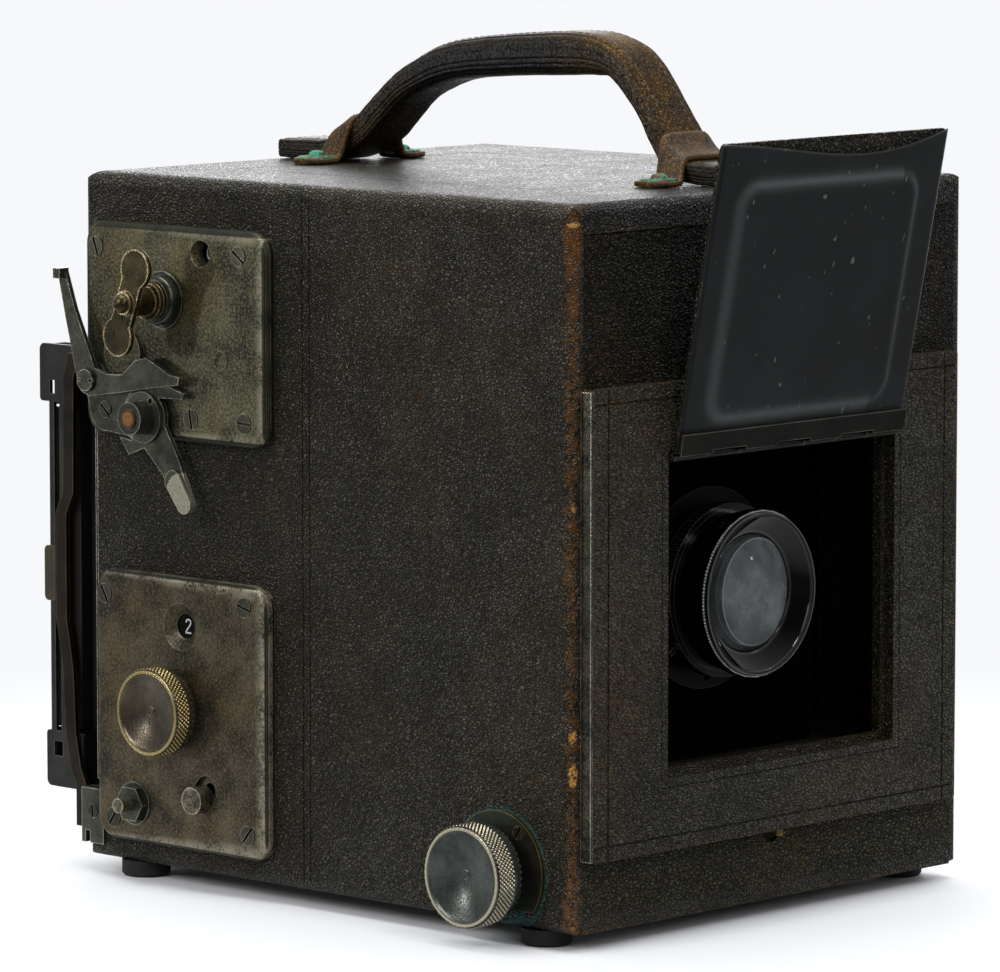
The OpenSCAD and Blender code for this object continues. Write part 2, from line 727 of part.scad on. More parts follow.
module lower_plate() {
    color(gunmetal) difference() {
        side_plate(lower_y0, lower_z, lower_d, lower_h);
        window(lower_window_y, lower_window_z, window_r, 4.1);
        screw_holes(lower_screws());
        along_x(plate_x - 1, tension_y, tension_z) cylinder(r = 4 + run, h = plate_t + 2);
        along_x(plate_x - 1, release_pin_y, release_pin_z) cylinder(r = 4, h = plate_t + 2);
        along_x(plate_x - 1, stop_y, stop_z) stop_slot(5.4, 3);
        along_x(plate_x - 1, stop_y, stop_z) stop_slot(2.6, plate_t + 2);
        // recess for the number disc
        along_x(-xo - 1.2, tension_y, tension_z) cylinder(r = tension_dial_r + 0.5, h = 2);
    }
}

flange_r = 21.5;
flange_t = 1.6;
function flange_screws() = [for (a = [125, 50, -20]) [focus_y + 17.7 * cos(a), focus_z + 17.7 * sin(a), a]];
module panel_screws() {
    color(nickel) {
        for (s = upper_screws()) side_screw(plate_x, s[0], s[1], s[2]);
        for (s = lower_screws()) side_screw(plate_x, s[0], s[1], s[2]);
        for (s = flange_screws()) side_screw(-xo - flange_t, s[0], s[1], s[2], 2.3, 0.6);
        side_screw(-xo - corner_t, yb - 4, 17, 85, 2.4, 0.4, corner_t - eps);
        side_screw(bracket_x, bracket_hole_y, bracket_hole_z, 40, 3, 0.6);
    }
}

// Round plate behind the focusing knob, cut flat at the bottom
module focus_flange() {
    color(brass) along_x(-xo - flange_t, focus_y, focus_z) difference() {
        cylinder(r = flange_r, h = flange_t);
        translate([-30, -40 - 13, -1]) cube([60, 40, flange_t + 2]);
        translate([0, 0, -1]) cylinder(r = focus_shaft_r + run, h = flange_t + 2);
        for (s = flange_screws())
            translate([s[0] - focus_y, s[1] - focus_z, -1]) cylinder(r = 2.4, h = flange_t + 2);
    }
}

// Levers on the upper plate: fixed bracket, mirror lever and release lever
bracket_x = plate_x - 1.7;
mirror_lever_x = bracket_x - 0.3 - 1.7;
release_x = mirror_lever_x - 0.3 - 1.8;
release_y = yb - 12.7;
release_z = 178.5;
bracket_hole_y = yb - 17.9;
bracket_hole_z = 167.8;
module lever_bracket() {
    color(gunmetal) difference() {
        union() {
            along_x(bracket_x) linear_extrude(1.7 - eps) {
                translate([release_y, release_z]) circle(r = 6);
                translate([bracket_hole_y, bracket_hole_z]) circle(r = 8);
                translate([mirror_y, mirror_z]) circle(r = 9);
                polygon([[release_y + 6, release_z - 1], [release_y - 6, release_z],
                    [mirror_y + 3, mirror_z + 8.4], [mirror_y, mirror_z - 8.9],
                    [bracket_hole_y - 1, bracket_hole_z - 7.9], [bracket_hole_y + 8, bracket_hole_z - 1]]);
            }
            // pivot stud of the release lever, with its slotted head
            along_x(release_x - 1.6, release_y, release_z) cylinder(r = 2.2, h = bracket_x - release_x + 1.6);
            along_x(release_x - 1.6, release_y, release_z) difference() {
                cylinder(r = 4, h = 1.3);
                translate([-5, -0.5, -1]) cube([10, 1, 1.6]);
            }
        }
        along_x(bracket_x - 1, mirror_y, mirror_z) cylinder(r = mirror_shaft_r + run, h = 4);
        along_x(bracket_x - 1, bracket_hole_y, bracket_hole_z) cylinder(r = 3.1, h = 4);
    }
}

// Two-dimensional bar between two points, round at both ends
module bar(a, b, ra, rb) {
    hull() {
        translate(a) circle(r = ra, $fn = 32);
        translate(b) circle(r = rb, $fn = 32);
    }
}

// Bell-crank release lever: an upright arm with an outward hook, and a
// horizontal arm with a curved finger
module release_lever() {
    color(gunmetal) difference() {
        union() {
            along_x(release_x) linear_extrude(1.8) {
                bar([release_y, release_z], [yb - 3.5, 203], 5.4, 2.8);
                bar([yb - 3.5, 203], [yb + 0.7, 216.9], 2.8, 2);
                polygon([[release_y, release_z - 6], [yb - 30, 175], [yb - 46, 177.8],
                    [yb - 60, 179.8], [yb - 60.8, 182.6], [yb - 55.5, 183.2],
                    [yb - 48, 186.8], [yb - 43, 188.6], [yb - 37.5, 187.2],
                    [yb - 31, 181.6], [yb - 23, 181.2], [release_y - 2, release_z + 5]]);
            }
            block([release_x - 2.8, yb - 1.2, 215], [release_x + 1.8, yb + 2.4, 218.8]);
        }
        along_x(release_x - 1, release_y, release_z) cylinder(r = 2.2 + run, h = 4);
    }
}

// Mirror-setting lever on the end of the mirror shaft
module mirror_lever() {
    hub = [mirror_y, mirror_z];
    elbow = [yb - 53.5, 150];
    tip = [yb - 61.7, 136.6];
    color(gunmetal) along_x(mirror_lever_x) linear_extrude(1.7) difference() {
        union() {
            circle_at(hub, 10.8);
            bar(hub, elbow, 8, 5.2);
            bar(elbow, tip, 5.2, 3.4);
            polygon([[yb - 45, 157], [yb - 36, 157.4], [yb - 27.5, 158.5], [yb - 32, 152.4]]);
            polygon([[yb - 45, 174], [yb - 60, 174.6], [yb - 61, 176.6],
                [yb - 54, 178.4], [yb - 42, 177.6], [yb - 40, 175]]);
        }
        circle_at(hub, mirror_shaft_r);
    }
    // the collar pressed on the shaft, with its pin holes
    color(nickel) along_x(mirror_lever_x - 7.5, mirror_y, mirror_z) difference() {
        union() {
            cylinder(r = 6, h = 7);
            translate([0, 0, 6.5]) cylinder(r = 9.4, h = 1 - eps);
        }
        for (a = [125, 305]) rotate(a) translate([7.6, 0, 6]) cylinder(r = 1.1, h = 3);
        translate([0, 0, -1]) cylinder(r = mirror_shaft_r, h = 10);
    }
    // the thumb pad on the tip
    color(nickel) along_x(mirror_lever_x - 1.2) linear_extrude(1.2 - eps)
        bar([yb - 56, 144.6], tip, 4, 3.6);
}
module circle_at(p, r) {
    translate(p) circle(r = r);
}

// Mirror shaft with the arms and the tray that hold the glass at 45 degrees
module mirror_frame() {
    w = mirror_w / 2;
    color(black) {
        along_x(mirror_lever_x - 8.2, mirror_y, mirror_z)
            cylinder(r = mirror_shaft_r - eps, h = xi + 2 - mirror_lever_x + 8.2);
        translate([0, mirror_y, mirror_z]) rotate([45, 0, 0]) mirror([0, 1, 0]) {
            difference() {
                block([-w - 2, -mirror_tail, mirror_offset - 3.2], [w + 2, mirror_reach, mirror_offset + 1.4]);
                block([-w, -mirror_tail + 2, mirror_offset - 1.2], [w, mirror_reach - 2, mirror_offset + 2]);
            }
            for (x = [-w + 2, w - 8])
                block([x, -6, -2], [x + 6, 9, mirror_offset - 3.2 + eps]);
        }
    }
}
module mirror_glass() {
    w = mirror_w / 2 - 0.2;
    color(glass_tint) translate([0, mirror_y, mirror_z]) rotate([45, 0, 0]) mirror([0, 1, 0])
        block([-w, -mirror_tail + 2.2, mirror_offset - 1.2], [w, mirror_reach - 2.2, mirror_offset + 1]);
}

// Shafts and knobs

// Fixed collars on the plates: round the winding shaft and the release pin
module plate_bushes() {
    color(gunmetal) along_x(plate_x, key_y, key_z) mirror([0, 0, 1]) rotate_extrude() difference() {
        union() {
            square([10.5, 1]);
            square([9, 3.4]);
            translate([0, 3.3]) square([7.4, 2.2]);
            translate([7.4, 3.3]) circle(r = 1.6, $fn = 24);
        }
        translate([-20, -1]) square([25 + run, 12]);
    }
    color(gunmetal) along_x(plate_x, release_pin_y, release_pin_z) mirror([0, 0, 1]) difference() {
        union() {
            cylinder(r = 8, h = 0.8);
            cylinder(r = 7, h = 3.4, $fn = 6);
            translate([0, 0, -3]) cylinder(r = 4 - eps, h = 5);
        }
        translate([0, 0, -4]) cylinder(r = 2.75 + run, h = 12);
    }
}

// Winding key: shaft with its gear, two-lobed wing and domed nut
module winding_key() {
    wing_x = plate_x - 17;
    color(gunmetal) {
        along_x(wing_x, key_y, key_z) cylinder(r = 5, h = gear_x + gear_t - wing_x);
        along_x(gear_x, key_y, key_z) linear_extrude(gear_t)
            rotate(roller_angle) gear_outline(key_teeth);
    }
    color(brass) along_x(plate_x - 8.6, key_y, key_z) cylinder(r = 7, h = 2.4);
    color(brass) along_x(wing_x - 2, key_y, key_z) rotate(110.5) linear_extrude(2.2) {
        translate([-key_span / 2 + 7.2, -5]) square([key_span - 14.4, 10]);
        for (s = [-1, 1]) translate([s * (key_span / 2 - 7.2), 0]) circle(r = 7.2);
    }
    color(nickel) along_x(wing_x - 2, key_y, key_z) mirror([0, 0, 1]) {
        cylinder(r = 4.2, h = 1.6);
        translate([0, 0, 1.5]) intersection() {
            sphere(r = 3.6);
            cylinder(r = 5, h = 5);
        }
    }
}

// Rollers of the curtain, each with its gear
module roller(z, turn, end_x) {
    along_x(-xi + 3, roller_y, z) cylinder(r = drum_r, h = 2 * xi - 6);
    along_x(end_x, roller_y, z) cylinder(r = journal_r, h = xi + 2 - end_x);
    along_x(gear_x, roller_y, z) linear_extrude(gear_t) rotate(turn) gear_outline(roller_teeth);
}
module upper_roller() {
    color(nickel) roller(upper_roller_z, roller_turn, -xo - 2);
}
module lower_roller() {
    color(nickel) roller(lower_roller_z, lower_turn, -xo + 0.1);
}

// Number dial behind the upper window, on a stub shaft
module number_dial() {
    color(black) difference() {
        along_x(gear_x, dial_y, dial_z) linear_extrude(gear_t) rotate(dial_turn) gear_outline(dial_teeth);
        along_x(gear_x - 1, dial_y, dial_z) cylinder(r = 2, h = gear_t + 2);
    }
    color(brass) along_x(pocket_x + gap, dial_y, dial_z) cylinder(r = 2, h = gear_x + gear_t - pocket_x - gap);
}

// A round knob with a serrated rim and a dished face, drawn along +Z
module knob(r, h, teeth, dish) {
    difference() {
        linear_extrude(h) polygon([for (k = [0:2 * teeth - 1])
            (r - (k % 2) * 0.5) * [cos(k * 180 / teeth), sin(k * 180 / teeth)]]);
        translate([0, 0, h - dish]) cylinder(r1 = r * 0.62, r2 = r - 1.6, h = dish + eps);
    }
}

// Spring-tension knob, its shaft, gear and the number disc behind the plate
module tension_knob() {
    color(gunmetal) {
        along_x(plate_x - gap, tension_y, tension_z) mirror([0, 0, 1]) {
            cylinder(r = 13.5, h = 3.2);
            translate([0, 0, 3.2 - eps]) knob(tension_r, 8.8, 44, 2.4);
        }
        along_x(plate_x - 4, tension_y, tension_z) cylinder(r = 4, h = gear_x + gear_t - plate_x + 4);
        along_x(gear_x, tension_y, tension_z) linear_extrude(gear_t)
            rotate(lower_angle) gear_outline(tension_teeth);
    }
    color(black) along_x(-xo - 1, tension_y, tension_z) cylinder(r = tension_dial_r, h = 0.8);
}

module focus_knob() {
    color(gunmetal) along_x(-xo - flange_t - 3, focus_y, focus_z) mirror([0, 0, 1]) difference() {
        union() {
            cylinder(r = 7, h = 4);
            translate([0, 0, 3]) knob(focus_knob_r, 12.4, 48, 3.4);
        }
        translate([0, 0, -1]) cylinder(r = focus_shaft_r, h = 9);
    }
}

// Focusing shaft with its two pinions
module focus_shaft() {
    color(brass) {
        along_x(-xo - flange_t - 10, focus_y, focus_z)
            cylinder(r = focus_shaft_r - eps, h = xo + flange_t + 10 + rail_x + 8);
        for (x = [-pinion_x, pinion_x]) along_x(x - 3, focus_y, focus_z) linear_extrude(6)
            rotate(90) gear_outline(pinion_teeth);
    }
}

// Focusing bed in its rails, with a rack under each side
module focus_bed() {
    pitch = PI * gear_m;
    first = ceil((bed_y0 + 1 - focus_y) / pitch - 0.5);
    last = floor((bed_y1 - 1 - focus_y) / pitch - 0.5);
    tip = pitch / 4 - backlash / 4 - gear_m * tan(pressure);
    root = pitch / 4 - backlash / 4 + 1.25 * gear_m * tan(pressure);
    back = rack_line + 1.25 * gear_m;
    color(wood) block([-bed_w / 2, bed_y0, bed_z], [bed_w / 2, bed_y1, bed_z + bed_t]);
    color(brass) for (x = [-pinion_x, pinion_x]) along_x(x - rack_w / 2) linear_extrude(rack_w) {
        translate([bed_y0, back]) square([bed_y1 - bed_y0, bed_z - back + eps]);
        for (k = [first:last]) translate([focus_y + (k + 0.5) * pitch, 0])
            polygon([[-root, back + eps], [-tip, rack_line - gear_m],
                [tip, rack_line - gear_m], [root, back + eps]]);
    }
}

// Lens

module lens_board() {
    w = board_w / 2;
    color(black) {
        difference() {
            union() {
                block([-w, board_y, bed_z + bed_t], [w, board_y + board_t, lens_z + w]);
                along_y(board_y + eps, 0, lens_z) cylinder(r = 44, h = 1.5);
                block([-w + 6, board_y + board_t - eps, bed_z + bed_t],
                    [w - 6, board_y + board_t + 5, bed_z + bed_t + 1.9]);
            }
            along_y(board_y + board_t + 1, 0, lens_z) cylinder(r = 28, h = board_t + 5);
        }
    }
}
lens_face_y = board_y - 1.5;
rim_y = board_y - lens_len;
rim_h = 6;
module lens_flange() {
    color(black) along_y(lens_face_y, 0, lens_z) difference() {
        cylinder(r = 36.5, h = 2.4);
        translate([0, 0, -1]) cylinder(r = 27.9, h = 5);
        for (a = [30:120:270]) rotate(a) translate([32.3, 0, 1]) cylinder(r = 1.6, h = 3);
    }
}
// Barrel: a tube with a rear cell, in which the two glasses sit
module lens_barrel() {
    color(black) along_y(board_y + board_t + 9, 0, lens_z) rotate_extrude() difference() {
        union() {
            square([27.5, board_t + 9 + lens_len - rim_h]);
            translate([0, board_t + 9 + 4]) square([29, lens_len - 4 - rim_h]);
        }
        translate([-1, -1]) square([22, 60]);
        translate([-1, board_t + 9 + lens_len - 11]) square([glass_r + 1.2, 30]);
        translate([-1, -1]) square([23.9, 7]);
    }
}
// Front rim with its milled edge and the stepped bezel inside it
module lens_rim() {
    milled = 120;
    color(nickel) along_y(rim_y + rim_h, 0, lens_z) difference() {
        union() {
            linear_extrude(4.6) polygon([for (k = [0:2 * milled - 1])
                (rim_r - (k % 2) * 0.35) * [cos(k * 180 / milled), sin(k * 180 / milled)]]);
            cylinder(r = rim_r - 0.8, h = rim_h);
        }
        translate([0, 0, -1]) cylinder(r = glass_r - 0.7, h = 3);
        translate([0, 0, 1.4]) cylinder(r = glass_r + 0.6, h = 6);
        translate([0, 0, 3]) cylinder(r1 = glass_r + 1.2, r2 = rim_r - 1.6, h = 3 + eps);
    }
}
// The front and rear glass, each a domed disc
function dome_r(r, rise) = (r * r + rise * rise) / (2 * rise);
module dome(r, rise, edge) {
    big = dome_r(r, rise);
    cylinder(r = r, h = edge);
    translate([0, 0, edge - eps]) intersection() {
        translate([0, 0, rise - big]) sphere(r = big, $fn = 96);
        cylinder(r = r, h = rise + 1);
    }
}
module lens_elements() {
    color(glass_tint) {
        along_y(board_y + board_t + 9 - (board_t + 9 + lens_len - 11), 0, lens_z) dome(glass_r, 4.4, 3.5);
        along_y(board_y + board_t + 9 - 6, 0, lens_z) mirror([0, 0, 1]) dome(22.5, 3, 2.5);
    }
}
module iris_ring() {
    serrations = 90;
    color(black) along_y(board_y - 9, 0, lens_z) difference() {
        union() {
            linear_extrude(5) polygon([for (k = [0:2 * serrations - 1])
                (31.5 - (k % 2) * 0.4) * [cos(k * 180 / serrations), sin(k * 180 / serrations)]]);
            rotate(215) translate([31, 0, 2.5]) rotate([0, 90, 0]) cylinder(r = 1.6, h = 5);
        }
        translate([0, 0, -1]) cylinder(r = 29 + run, h = 8);
    }
}

// Door, drawn as it hangs when closed, with the hinge axis at the origin:
// +Y points into the camera and the panel hangs along -Z

door_h = door_hinge_z - opening_z0 - 0.8;
module opened() {
    translate([0, door_axis_y, door_hinge_z]) rotate([-(180 - door_lean), 0, 0]) children();
}
leather_t = 0.9;
// Pressed black panel: a sheet with a raised field, cut away in a wave along
// its free edge so that a finger finds the leather behind it
door_wave = 6.6;
door_field = 0.9;
module door_panel() {
    w = door_w / 2;
    inner = 0.4 + door_t;
    sheet = door_t - leather_t - door_field;
    color(black) opened() {
        difference() {
            along_y(inner - door_field) linear_extrude(sheet)
                soft_rect(-w, -door_h, w, -2.3, [2, 2, 0.5, 0.5]);
            along_y(inner + 1) linear_extrude(20) polygon(concat([[w, -door_h - 1]],
                [[-w, -door_h - 1]], [for (k = [0:24]) let (t = k / 24)
                    [-w + 2 * w * t, -door_h + door_wave * sin(180 * pow(t, 1.5))]]));
        }
        along_y(inner) linear_extrude(door_field + eps)
            soft_rect(-w + 13, -door_h + 15, w - 13, -13, [7, 7, 7, 7]);
    }
}
module door_leather() {
    w = door_w / 2;
    color(leather) opened() difference() {
        along_y(0.4 + leather_t) linear_extrude(leather_t)
            soft_rect(-w, -door_h, w, -2.3, [2, 2, 0.5, 0.5]);
        along_y(5) linear_extrude(5 - 0.4 - 0.3) translate([5, -door_h]) scale([1, 0.14]) circle(r = 15);
    }
}

// Knuckles of a hinge along X: every second one from the first
module knuckles(r, bore, w, count, first, side_gap) {
    step = w / count;
    for (k = [first:2:count - 1]) along_x(-w / 2 + k * step + side_gap / 2) difference() {
        union() {
            cylinder(r = r, h = step - side_gap);
            linear_extrude(step - side_gap) children();
        }
        translate([0, 0, -1]) cylinder(r = bore, h = step + 2);
    }
}
door_pin_r = 0.8;
lid_pin_r = 1;
module door_hinge_leaf() {
    w = door_w / 2;
    inner = 0.4 + door_t;
    color(gunmetal) opened() {
        block([-w, inner, -9], [w, inner + 0.8, -2.4]);
        knuckles(door_knuckle_r, door_pin_r + run, door_w, door_knuckles, 0, gap)
            polygon([[0, -door_knuckle_r], [inner + 0.8, -2.4 - eps * 10], [inner + 0.8, -1.2], [0, 0]]);
    }
}

// Fixed leaves of the door hinge and the lid hinge, with their pins
module fixed_hinge_leaves() {
    top = opening_z1 - door_hinge_z;
    color(gunmetal) translate([0, door_axis_y, door_hinge_z]) {
        block([-door_w / 2, door_knuckle_r + 0.5, top - 1], [door_w / 2, 0.4 + frame_t - 3.8, top]);
        knuckles(door_knuckle_r, door_pin_r + run, door_w, door_knuckles, 1, gap)
            polygon([[0, 0], [door_knuckle_r + 1, 1.2], [door_knuckle_r + 1, top], [0, door_knuckle_r]]);
        along_x(-door_w / 2 - 0.2) cylinder(r = door_pin_r, h = door_w + 0.4);
    }
    color(gunmetal) translate([0, lid_axis_y, lid_axis_z]) {
        block([-lid_hinge_w / 2, -8, -1.3 - leaf_t], [lid_hinge_w / 2, -lid_knuckle_r - 0.3, -1.3]);
        knuckles(lid_knuckle_r, lid_pin_r + run, lid_hinge_w, lid_knuckles, 1, gap)
            polygon([[0, -lid_knuckle_r], [-lid_knuckle_r - 1, -1.3 - leaf_t],
                [-lid_knuckle_r - 1, -1.3], [-1, 0]]);
        along_x(-lid_hinge_w / 2 - 0.5) cylinder(r = lid_pin_r, h = lid_hinge_w + 1);
    }
}

// Lid and handle

module lid_board() {
    x = xi - lid_play;
    y1 = yb - 1;
    in = 38;
    color(leather) difference() {
        along_x(-x) linear_extrude(2 * x) soft_rect(yf, lid_z + 0.2, y1, case_h, [0.5, 0.5, 7.5, 4]);
        block([-x + wall, yf + wall, lid_z], [x - wall, y1 - wall - 8, case_h - wall]);
        block([-x - 1, lid_axis_y - 8, lid_z], [x + 1, yb + 1, lid_axis_z + 2.3]);
        // tooled rectangle on the top
        for (y = [yf + in, yb - in])
            block([-x + in, y - 0.3, case_h - tooled], [x - in, y + 0.3, case_h + 1]);
        for (u = [-x + in, x - in])
            block([u - 0.3, yf + in, case_h - tooled], [u + 0.3, yb - in, case_h + 1]);
    }
}
module lid_hinge_leaf() {
    color(gunmetal) translate([0, lid_axis_y, lid_axis_z]) {
        block([-lid_hinge_w / 2, -7.9, 2.3 - 1.2], [lid_hinge_w / 2, -lid_knuckle_r - 0.3, 2.3]);
        knuckles(lid_knuckle_r, lid_pin_r + run, lid_hinge_w, lid_knuckles, 0, gap)
            polygon([[0, lid_knuckle_r], [-lid_knuckle_r - 1, 2.3], [-lid_knuckle_r - 1, 1.1], [-1, 0]]);
    }
}

// The strap runs as a smooth line through these centre points, as distances
// from the case centre and heights above the lid, with its thickness there
function strap_points() = [[114, 3.9, 7.4], [100, 4.1, 7.8], [88, 4.9, 8.4], [75, 11, 10],
    [65, 19.4, 11], [55, 28, 11.5], [44, handle_rise - 18.6, 12.6], [27, handle_rise - 12.8, 14.4],
    [0, handle_rise - 9.8, grip_t], [-28, handle_rise - 8.2, grip_t + 0.5],
    [-43, handle_rise - 8.4, grip_t - 1], [-55, handle_rise - 12, 10.6], [-67, 28, 7.8],
    [-76, 15.4, 7.4], [-82, 8.2, 7.6], [-88, 5, 7.8], [-96, 4.1, 7.8], [-104, 4, 7.8]];
// Catmull-Rom blend of four values
function blend4(a, b, c, d, t) = 0.5 * (2 * b + (c - a) * t
    + (2 * a - 5 * b + 4 * c - d) * t * t + (3 * b - a - 3 * c + d) * t * t * t);
function strap_line(steps) = let (p = strap_points(), n = len(p) - 1)
    [for (i = [0:n - 1]) for (k = [0:(i == n - 1 ? steps : steps - 1)])
        blend4(p[max(i - 1, 0)], p[i], p[i + 1], p[min(i + 2, n)], k / steps)];
function strap_side(line, s) = [for (i = [0:len(line) - 1])
    let (a = line[max(i - 1, 0)], b = line[min(i + 1, len(line) - 1)],
        t = [b[0] - a[0], b[1] - a[1]] / norm([b[0] - a[0], b[1] - a[1]]))
    [line[i][0] - s * t[1] * line[i][2] / 2, line[i][1] + s * t[0] * line[i][2] / 2 + case_h]];
module handle_strap() {
    line = strap_line(3);
    up = strap_side(line, 1);
    down = strap_side(line, -1);
    color(worn_leather) along_x(-strap_w / 2) linear_extrude(strap_w)
        polygon(concat(up, [for (k = [len(down) - 1:-1:0]) down[k]]));
}

// Leather loops that hold the strap down, with side feet
loop_w = 12;
loop_top = 21;
function loop_places() = [83, -87.5];
module handle_loops() {
    inner = strap_w / 2 + 0.4;
    color(worn_leather) for (y = loop_places()) along_y(y + loop_w / 2) linear_extrude(loop_w) difference() {
        union() {
            translate([-31, case_h + 1.2]) square([62, 2.4]);
            soft_rect(-inner - 2.8, case_h + 1.2, inner + 2.8, case_h + loop_top, [0, 0, 8, 8]);
        }
        soft_rect(-inner, case_h - 1, inner, case_h + loop_top - 2.6, [0, 0, 4, 4]);
    }
}
// Brass plates and rivets under the loops
module handle_feet() {
    color(brass) for (y = loop_places()) for (s = [-1, 1]) {
        block([s > 0 ? 13 : -32, y - loop_w / 2 - 0.8, case_h],
            [s > 0 ? 32 : -13, y + loop_w / 2 + 0.8, case_h + 1.2]);
        translate([s * 24, y, case_h + 3.6]) cylinder(r1 = 4, r2 = 2.6, h = 1.3);
    }
}

// Buttons

module release_button() {
    color(nickel) along_x(plate_x - 9, release_pin_y, release_pin_z) cylinder(r = 2.75, h = 9 + plate_t - gap);
}
module stop_button() {
    color(nickel) {
        along_x(plate_x - 5, stop_y, stop_z) cylinder(r = 5, h = 6.6);
        along_x(plate_x + 1.5, stop_y, stop_z) cylinder(r = 2.3, h = 1.6);
    }
}

right_side_panel();
left_side_panel();
base_board();
front_panels();
front_frame();
frame_edge_strips();
frame_catch();
rear_upper_panel();
mirror_box_front();
bellows();
bed_rails();
screen_frame();
ground_glass();
focusing_hood();
film_gate();
back_frame();
plate_holder();
holder_springs();
corner_brackets();
feet();
tripod_bush();
upper_plate();
lower_plate();
panel_screws();
focus_flange();
shutter_curtain();
lever_bracket();
plate_bushes();
fixed_hinge_leaves();
focus_bed();
lens_board();
lens_flange();
lens_barrel();
lens_rim();
lens_elements();
iris_ring();
focus_knob();
focus_shaft();
door_panel();
door_leather();
door_hinge_leaf();
lid_board();
lid_hinge_leaf();
handle_strap();
handle_loops();
handle_feet();
mirror_frame();
mirror_glass();
mirror_lever();
winding_key();
upper_roller();
number_dial();
tension_knob();
lower_roller();
release_lever();
release_button();
stop_button();
dark_slide();
slide_lock_right();
slide_lock_left();
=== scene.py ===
import functools
import math

import bmesh
import bpy
import numpy as np
from mathutils import Matrix, Vector


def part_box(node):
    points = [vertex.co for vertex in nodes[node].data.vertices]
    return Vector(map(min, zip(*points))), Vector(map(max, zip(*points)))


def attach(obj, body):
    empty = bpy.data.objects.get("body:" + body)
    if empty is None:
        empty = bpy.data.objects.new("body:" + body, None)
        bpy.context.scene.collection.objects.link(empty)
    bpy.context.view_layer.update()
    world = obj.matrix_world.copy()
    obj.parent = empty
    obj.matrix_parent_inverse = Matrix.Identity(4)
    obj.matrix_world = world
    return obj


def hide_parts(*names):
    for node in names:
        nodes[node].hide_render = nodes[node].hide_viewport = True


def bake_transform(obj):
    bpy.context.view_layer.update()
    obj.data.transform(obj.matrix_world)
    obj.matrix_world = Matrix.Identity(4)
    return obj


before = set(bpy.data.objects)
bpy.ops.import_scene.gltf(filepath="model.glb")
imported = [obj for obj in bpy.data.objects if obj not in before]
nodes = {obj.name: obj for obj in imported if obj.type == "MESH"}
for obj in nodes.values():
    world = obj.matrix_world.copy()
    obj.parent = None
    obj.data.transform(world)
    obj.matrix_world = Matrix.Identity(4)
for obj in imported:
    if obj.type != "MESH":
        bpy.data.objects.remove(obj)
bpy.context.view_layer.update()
scene = bpy.context.scene

# View
# The camera stands off the front corner, a little above the middle of the case,
# with a long lens, as for a catalogue photograph.
azimuth, elevation = math.radians(-46.69), math.radians(6.774)
back = Vector((math.sin(azimuth) * math.cos(elevation),
               -math.cos(azimuth) * math.cos(elevation), math.sin(elevation)))
right = Vector((0, 0, 1)).cross(back).normalized()
turn = Matrix((right, back.cross(right), back)).transposed().to_4x4()
camera_data = bpy.data.cameras.new("view_camera")
camera_data.sensor_width = 36
camera_data.lens = 243.06
camera_data.clip_end = 200
camera = bpy.data.objects.new("view_camera", camera_data)
camera_place = (-1.7962, -1.6822, 0.4307)
camera.matrix_world = Matrix.Translation(camera_place) @ turn
scene.collection.objects.link(camera)
scene.camera = camera
scene.view_settings.view_transform = "Standard"


# Studio
# A pale sweep under seven lamps: large soft ones above, to the left, in front and
# behind, and three small ones that give the glints on metal. The side of the room
# where the camera stands is dim, so that black leather stays black.
def linear(code):
    """The linear colour of an sRGB hex code such as 2b2118."""
    c = np.array([int(code[i:i + 2], 16) for i in (0, 2, 4)]) / 255
    c = np.where(c <= 0.04045, c / 12.92, ((c + 0.055) / 1.055) ** 2.4)
    return (float(c[0]), float(c[1]), float(c[2]), 1.0)


def add_node(tree, kind, *values, **settings):
    """Adds a shader node with these settings.

    The values fill its inputs in their order, or a dict gives them by name or number. A value
    may be the node or the socket to link.
    """
    made = tree.nodes.new("ShaderNode" + kind)
    for key, value in settings.items():
        setattr(made, key, value)
    if values and isinstance(values[0], dict):
        pairs = [(made.inputs[key], value) for key, value in values[0].items()]
    else:
        pairs = zip([socket for socket in made.inputs if socket.enabled], values)
    for socket, value in pairs:
        if isinstance(value, bpy.types.Node):
            value = next(o for o in value.outputs if o.enabled)
        if isinstance(value, bpy.types.NodeSocket):
            tree.links.new(value, socket)
        else:
            socket.default_value = value
    return made


def new_material(name):
    """A new material, and the function that adds a node to it."""
    material = bpy.data.materials.new(name)
    material.use_nodes = True
    material.node_tree.nodes.clear()
    return material, functools.partial(add_node, material.node_tree)


def grid_faces(n, m, across=False, along=False, start=0):
    """Faces over a grid of n rows of m points, closed round across a row or along the rows."""
    i = np.arange(n if along else n - 1)[:, None]
    j = np.arange(m if across else m - 1)[None, :]
    k, l = (i + 1) % n, (j + 1) % m
    return np.stack([i * m + j, i * m + l, k * m + l, k * m + j], -1).reshape(-1, 4) + start


def piece_of(name, points, faces):
    """A smooth piece from points in millimetres.

    Points that coincide are joined, and its faces look outward.
    """
    mesh = bpy.data.meshes.new(name)
    mesh.from_pydata((np.asarray(points).reshape(-1, 3) * 0.001).tolist(), [], [list(f) for f in faces])
    work = bmesh.new()
    work.from_mesh(mesh)
    bmesh.ops.remove_doubles(work, verts=work.verts, dist=1e-6)
    bmesh.ops.dissolve_degenerate(work, edges=work.edges, dist=1e-7)
    bmesh.ops.recalc_face_normals(work, faces=work.faces)
    work.to_mesh(mesh)
    work.free()
    mesh.polygons.foreach_set("use_smooth", np.ones(len(mesh.polygons), bool))
    made = bpy.data.objects.new(name, mesh)
    scene.collection.objects.link(made)
    return made


def seen_directly(add):
    """1 for rays from the camera, straight or through glass, and 0 for all others."""
    path = add("LightPath").outputs
    return add("Math", path["Is Camera Ray"], path["Is Transmission Ray"], operation="MAXIMUM")


